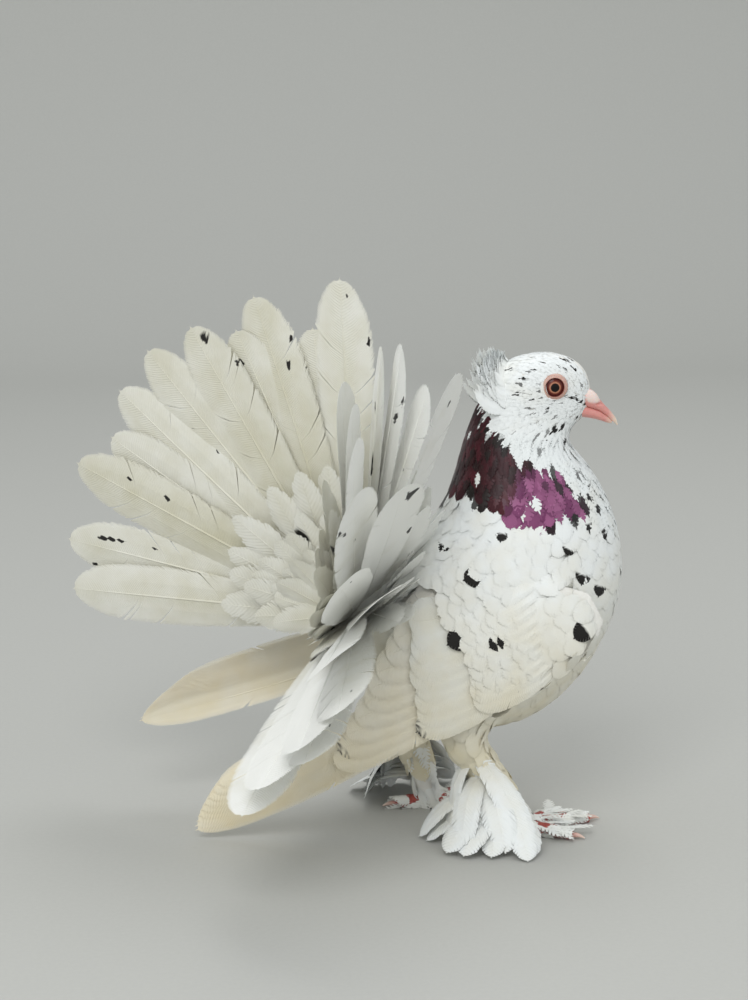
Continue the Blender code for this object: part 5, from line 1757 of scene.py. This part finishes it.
# %% Shape the claws
claw_finish, tree, shader = new_finish("claw horn", {
    "Roughness": 0.35, "IOR": 1.54, "Subsurface Weight": 0.1,
})
tip_share = add(tree, "Attribute", {"attribute_name": "tip"}).outputs["Fac"]
claw_colours = {**BLEND, 6: paint("#c98a80"), 7: paint("#e6cfc0")}
tree.links.new(add(tree, "Mix", claw_colours, {0: tip_share}).outputs[2], shader.inputs["Base Color"])
for side in ("right", "left"):
    for number, (heading, length) in enumerate(TOES):
        end = toe_line(side, heading, length)[-1]
        reach = np.linspace(0, 1, 14)
        drop = 0.5 * np.sin(reach * 2.2) - 1.5 * reach**2
        line = end + toe_heading(side, heading) * (reach * 7.1 - 0.2)[:, None] + UP * drop[:, None]
        radii = np.interp(reach, (0, 0.5, 1), (1.5, 1.1, 0.3))
        claw_points, claw_triangles = tube_skin(line, radii, 12, floor=0.2)
        claw = make_piece(
            f"claw_{side}_{number + 1}_horn", claw_points, claw_triangles, claw_finish,
            {"tip": np.repeat(reach, 12)},
        )
        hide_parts(f"claw_{side}_{number + 1}")

# %% [markdown]
# ## Feathered feet
# The breed wears boots: long, stiff feathers fan out from the shank, and small ones lie over the toes and
# the shank. The long ones are laid first, in three tiers from the shank down to the floor.

# %% Lay the long foot feathers
OFF_FLOOR = 0.15  # the least height of a feather over the floor, in mm
muff_plans = several_plans(91, 5, 30, 46.0, 8.5, (0.6, 0.68, 0.3), wear=0.08, splits=3,
                           bends=((0, 1.12), (0.6, 1.12), (1, 0.75)), shaft=0.55)


def lay_muff(side, draw):
    """The long feathers of one foot."""
    foot, heel, _, _, muff = FEET[side]
    ankle = ankle_of(side)
    outward = math.copysign(1, foot[1])
    rows = []
    for tier, (count, lift_low, lift_high, reach_out, wide, rest) in enumerate((
        (9, 0.05, 0.35, 44.0, 8.5, 1.2), (8, 0.35, 0.7, 40.0, 8.5, 2.6), (8, 0.6, 0.95, 30.0, 7.5, 6.0),
    )):
        for i in range(count):
            part = i / (count - 1)
            heading = math.radians(muff[0] + (muff[1] - muff[0]) * part + draw.uniform(-9, 9))
            ahead = np.array([math.cos(heading), outward * math.sin(heading), 0])
            start = ankle + (heel - ankle) * draw.uniform(lift_low, lift_high)
            reach = reach_out + 4 * math.sin(math.pi * part) + draw.uniform(-9, 5)
            end = np.array([foot[0] - 2, foot[1], rest + draw.uniform(0, 1.5)]) + ahead * reach
            rows.append((start, end, ahead, wide * draw.uniform(0.85, 1.15), draw.uniform(3.5, 6.5)))
    start, end, ahead, wide, bow = (np.array(column) for column in zip(*rows))
    across = np.column_stack([-ahead[:, 1], ahead[:, 0], 0 * ahead[:, 0]])
    out = unit(np.cross(across, end - start))
    out *= np.sign(out[:, 2:3])

    def place_muff(m, x, y, z):
        """Bends flat feathers from the shank down to the floor."""
        arch = np.sin(math.pi * np.clip(y, 0, 1)) * bow[m, None]
        along = start[m, None] + (end - start)[m, None] * y[..., None]
        middle = along + ahead[m, None] * (0.8 * arch)[..., None] + UP * arch[..., None]
        h = z - 1.2 * x**2
        points = middle + across[m, None] * (x * wide[m, None])[..., None] + out[m, None] * h[..., None]
        points[..., 2] = np.maximum(points[..., 2], OFF_FLOOR)
        return points

    laid = lay(muff_plans, draw.integers(0, 5, len(rows)), place_muff)
    make_feathers(
        f"foot_feathers_{side}", laid, body_plumage,
        vane_map(laid, len(rows)), draw.random(len(rows)), thin_shade(laid, 0.1, 0.2),
    )


print("a foot feather has", len(muff_plans[0][1]), "triangles")

# %% [markdown]
# ## Small feathers of the feet
# Small feathers lie along the toes and round the shank, and leafy ones stand out from both sides of the
# front toes. They are bent like the coat of the body.

# %% Lay the small foot feathers
leg_plans = several_plans(90, 5, 9, 11.0, 3.6, ROUND, wear=0.2, splits=1,
                          bends=((0, 1.2), (1, 0.35)), ridge=0.08, shaft=0.0)


def lay_leg_coat(side, draw, seed):
    """The small feathers of one leg and its toes."""
    foot, heel = FEET[side][:2]
    ankle = ankle_of(side)
    shank = smooth_line([heel, (heel + ankle) / 2, ankle, np.array([*foot, 8.0])], 20)
    lines = [(shank, 8.5, 6.5, 70, 12.0, 4.0)]
    for heading, long in TOES:
        toe = smooth_line(toe_line(side, heading, long), 20)[:16]
        lines.append((toe, 4.4, 3.4, int(long * 2.2), 10.0, 2.4))
    rows = []
    for line, first, last, count, long, half in lines:
        heading = unit(np.gradient(line, axis=0))
        for _ in range(count):
            at = draw.uniform(0, len(line) - 1.01)
            i = int(at)
            here, onward = line[i] + (line[i + 1] - line[i]) * (at - i), heading[i]
            turn = draw.uniform(0, 2 * math.pi)
            aside = unit(np.cross(onward, UP if abs(onward[2]) < 0.9 else (1.0, 0, 0)))
            out_one = aside * math.cos(turn) + np.cross(aside, onward) * math.sin(turn)
            radius = first + (last - first) * at / len(line)
            if here[2] + out_one[2] * radius < 1.0:
                continue
            size = draw.uniform(0.8, 1.2)
            rows.append((here + out_one * radius, onward, out_one, long * size, half * size, 1 / radius))
    # Leafy feathers stand out from both sides of the front toes.
    for heading, long in TOES[:3]:
        line = smooth_line(toe_line(side, heading, long), 20)
        for at, aside in ((5, 1), (6, -1), (9, 1), (10, -1), (13, 1), (15, -1)):
            onward = toe_heading(side, heading + aside * draw.uniform(24, 52))
            onward = unit(onward + np.array([0, 0, draw.uniform(-0.3, 0.05)]))
            out_one = unit(np.cross(np.cross(onward, UP), onward))
            size = (draw.uniform(13, 19), draw.uniform(3.0, 4.2))
            rows.append((line[at] + (0, 0, 3.4), onward, out_one, *size, 0.03))
    root, along, out, length, half, cup = (np.array(column) for column in zip(*rows))
    ahead, inward = along * length[:, None], out * 1.4
    small = {
        "root": root - inward, "middle": root + ahead / 2 - inward * 1.1, "tip": root + ahead - inward * 1.4,
        "normals": (out, out, out), "across": np.cross(along, out), "length": length, "half": half,
        "cup": cup, "lift": draw.uniform(0.3, 1.6, len(rows)), "depth": np.full(len(rows), 1.8),
    }
    laid = lay_on_skin(small, leg_plans, seed)
    laid["points"][:, 2] = np.maximum(laid["points"][:, 2], OFF_FLOOR)
    centres = np.column_stack([np.linspace(0.05, 0.95, len(rows)), draw.uniform(0.05, 0.95, len(rows))])
    make_feathers(
        f"coat_leg_{side}", laid, body_plumage, tuft_map(laid, centres), draw.random(len(rows)), 0.15,
        soft=True,
    )


for number, side in enumerate(("right", "left")):
    draw = np.random.default_rng(92 + number)
    lay_muff(side, draw)
    lay_leg_coat(side, draw, 95 + number)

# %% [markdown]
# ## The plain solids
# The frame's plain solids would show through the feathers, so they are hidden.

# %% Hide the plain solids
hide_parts("torso", "neck", "head", "leg_right", "leg_left")
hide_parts("tail")
for wing in ("right", "left"):
    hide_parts(f"wing_{wing}")

# %% [markdown]
# ## Floor and light
# The bird stands on a pale floor that curves up behind it like paper in a studio, so there is no
# horizon. A large lamp in front and above gives soft daylight. Weaker ones light the shadows from the
# side and from low down, one behind draws a bright edge, and a dim world fills the rest.

# %% Build the studio
FLOOR_HALF, SWEEP_START, SWEEP_RADIUS = 2.6, 1.5, 0.6
TOOTH_MM = 2.5  # the tooth of real paper is finer, and is drawn coarser so that it shows
bend = np.linspace(0, math.pi / 2, 24)
profile = [(-FLOOR_HALF, 0.0), (SWEEP_START, 0.0)]
profile += [(SWEEP_START + SWEEP_RADIUS * math.sin(a), SWEEP_RADIUS * (1 - math.cos(a))) for a in bend[1:]]
profile += [(SWEEP_START + SWEEP_RADIUS, 2.6)]
backdrop_mesh = bpy.data.meshes.new("floor")
corners = [(x, y, z) for y, z in profile for x in (-FLOOR_HALF, FLOOR_HALF)]
faces = [(2 * i, 2 * i + 1, 2 * i + 3, 2 * i + 2) for i in range(len(profile) - 1)]
backdrop_mesh.from_pydata(corners, [], faces)
backdrop_mesh.shade_smooth()
floor = new_object("floor", backdrop_mesh)
floor_finish, tree, shader = new_finish("matt paper", {"Roughness": 0.9, "Specular IOR Level": 0.2})
place = add(tree, "TexCoord").outputs["Object"]
tooth = add(tree, "TexNoise", {"Scale": 1 / (TOOTH_MM * MM), "Detail": 3.0}, {"Vector": place}).outputs["Fac"]
paper = add(tree, "Mix", {**BLEND, 6: paint("#b9b9b4"), 7: paint("#bfbfba")}, {0: tooth}).outputs[2]
tree.links.new(paper, shader.inputs["Base Color"])
backdrop_mesh.materials.append(floor_finish)

for name, place, size, power in (
    ("key", (-0.5, -1.6, 1.8), 1.3, 19.5),
    ("fill", (1.5, -1.2, 0.9), 1.6, 2.5),
    ("low", (-1.0, -1.7, 0.45), 1.6, 5.0),
    ("rim", (0.3, 0.8, 1.8), 1.0, 8.0),
):
    lamp = bpy.data.lights.new(name, "AREA")
    lamp.shape, lamp.size, lamp.energy = "DISK", size, power
    away = unit(np.array(place) - np.array([0.0, 0.0, 0.13]))
    side = unit(np.cross(UP, away))
    stand(new_object(name, lamp), side, np.cross(away, side), away, place)

world = bpy.data.worlds.new("studio")
world.use_nodes = True
world.node_tree.nodes["Background"].inputs["Color"].default_value = paint("#e9edf0")
world.node_tree.nodes["Background"].inputs["Strength"].default_value = 0.76
bpy.context.scene.world = world
bpy.context.scene.view_settings.view_transform = "Standard"
print("studio built")
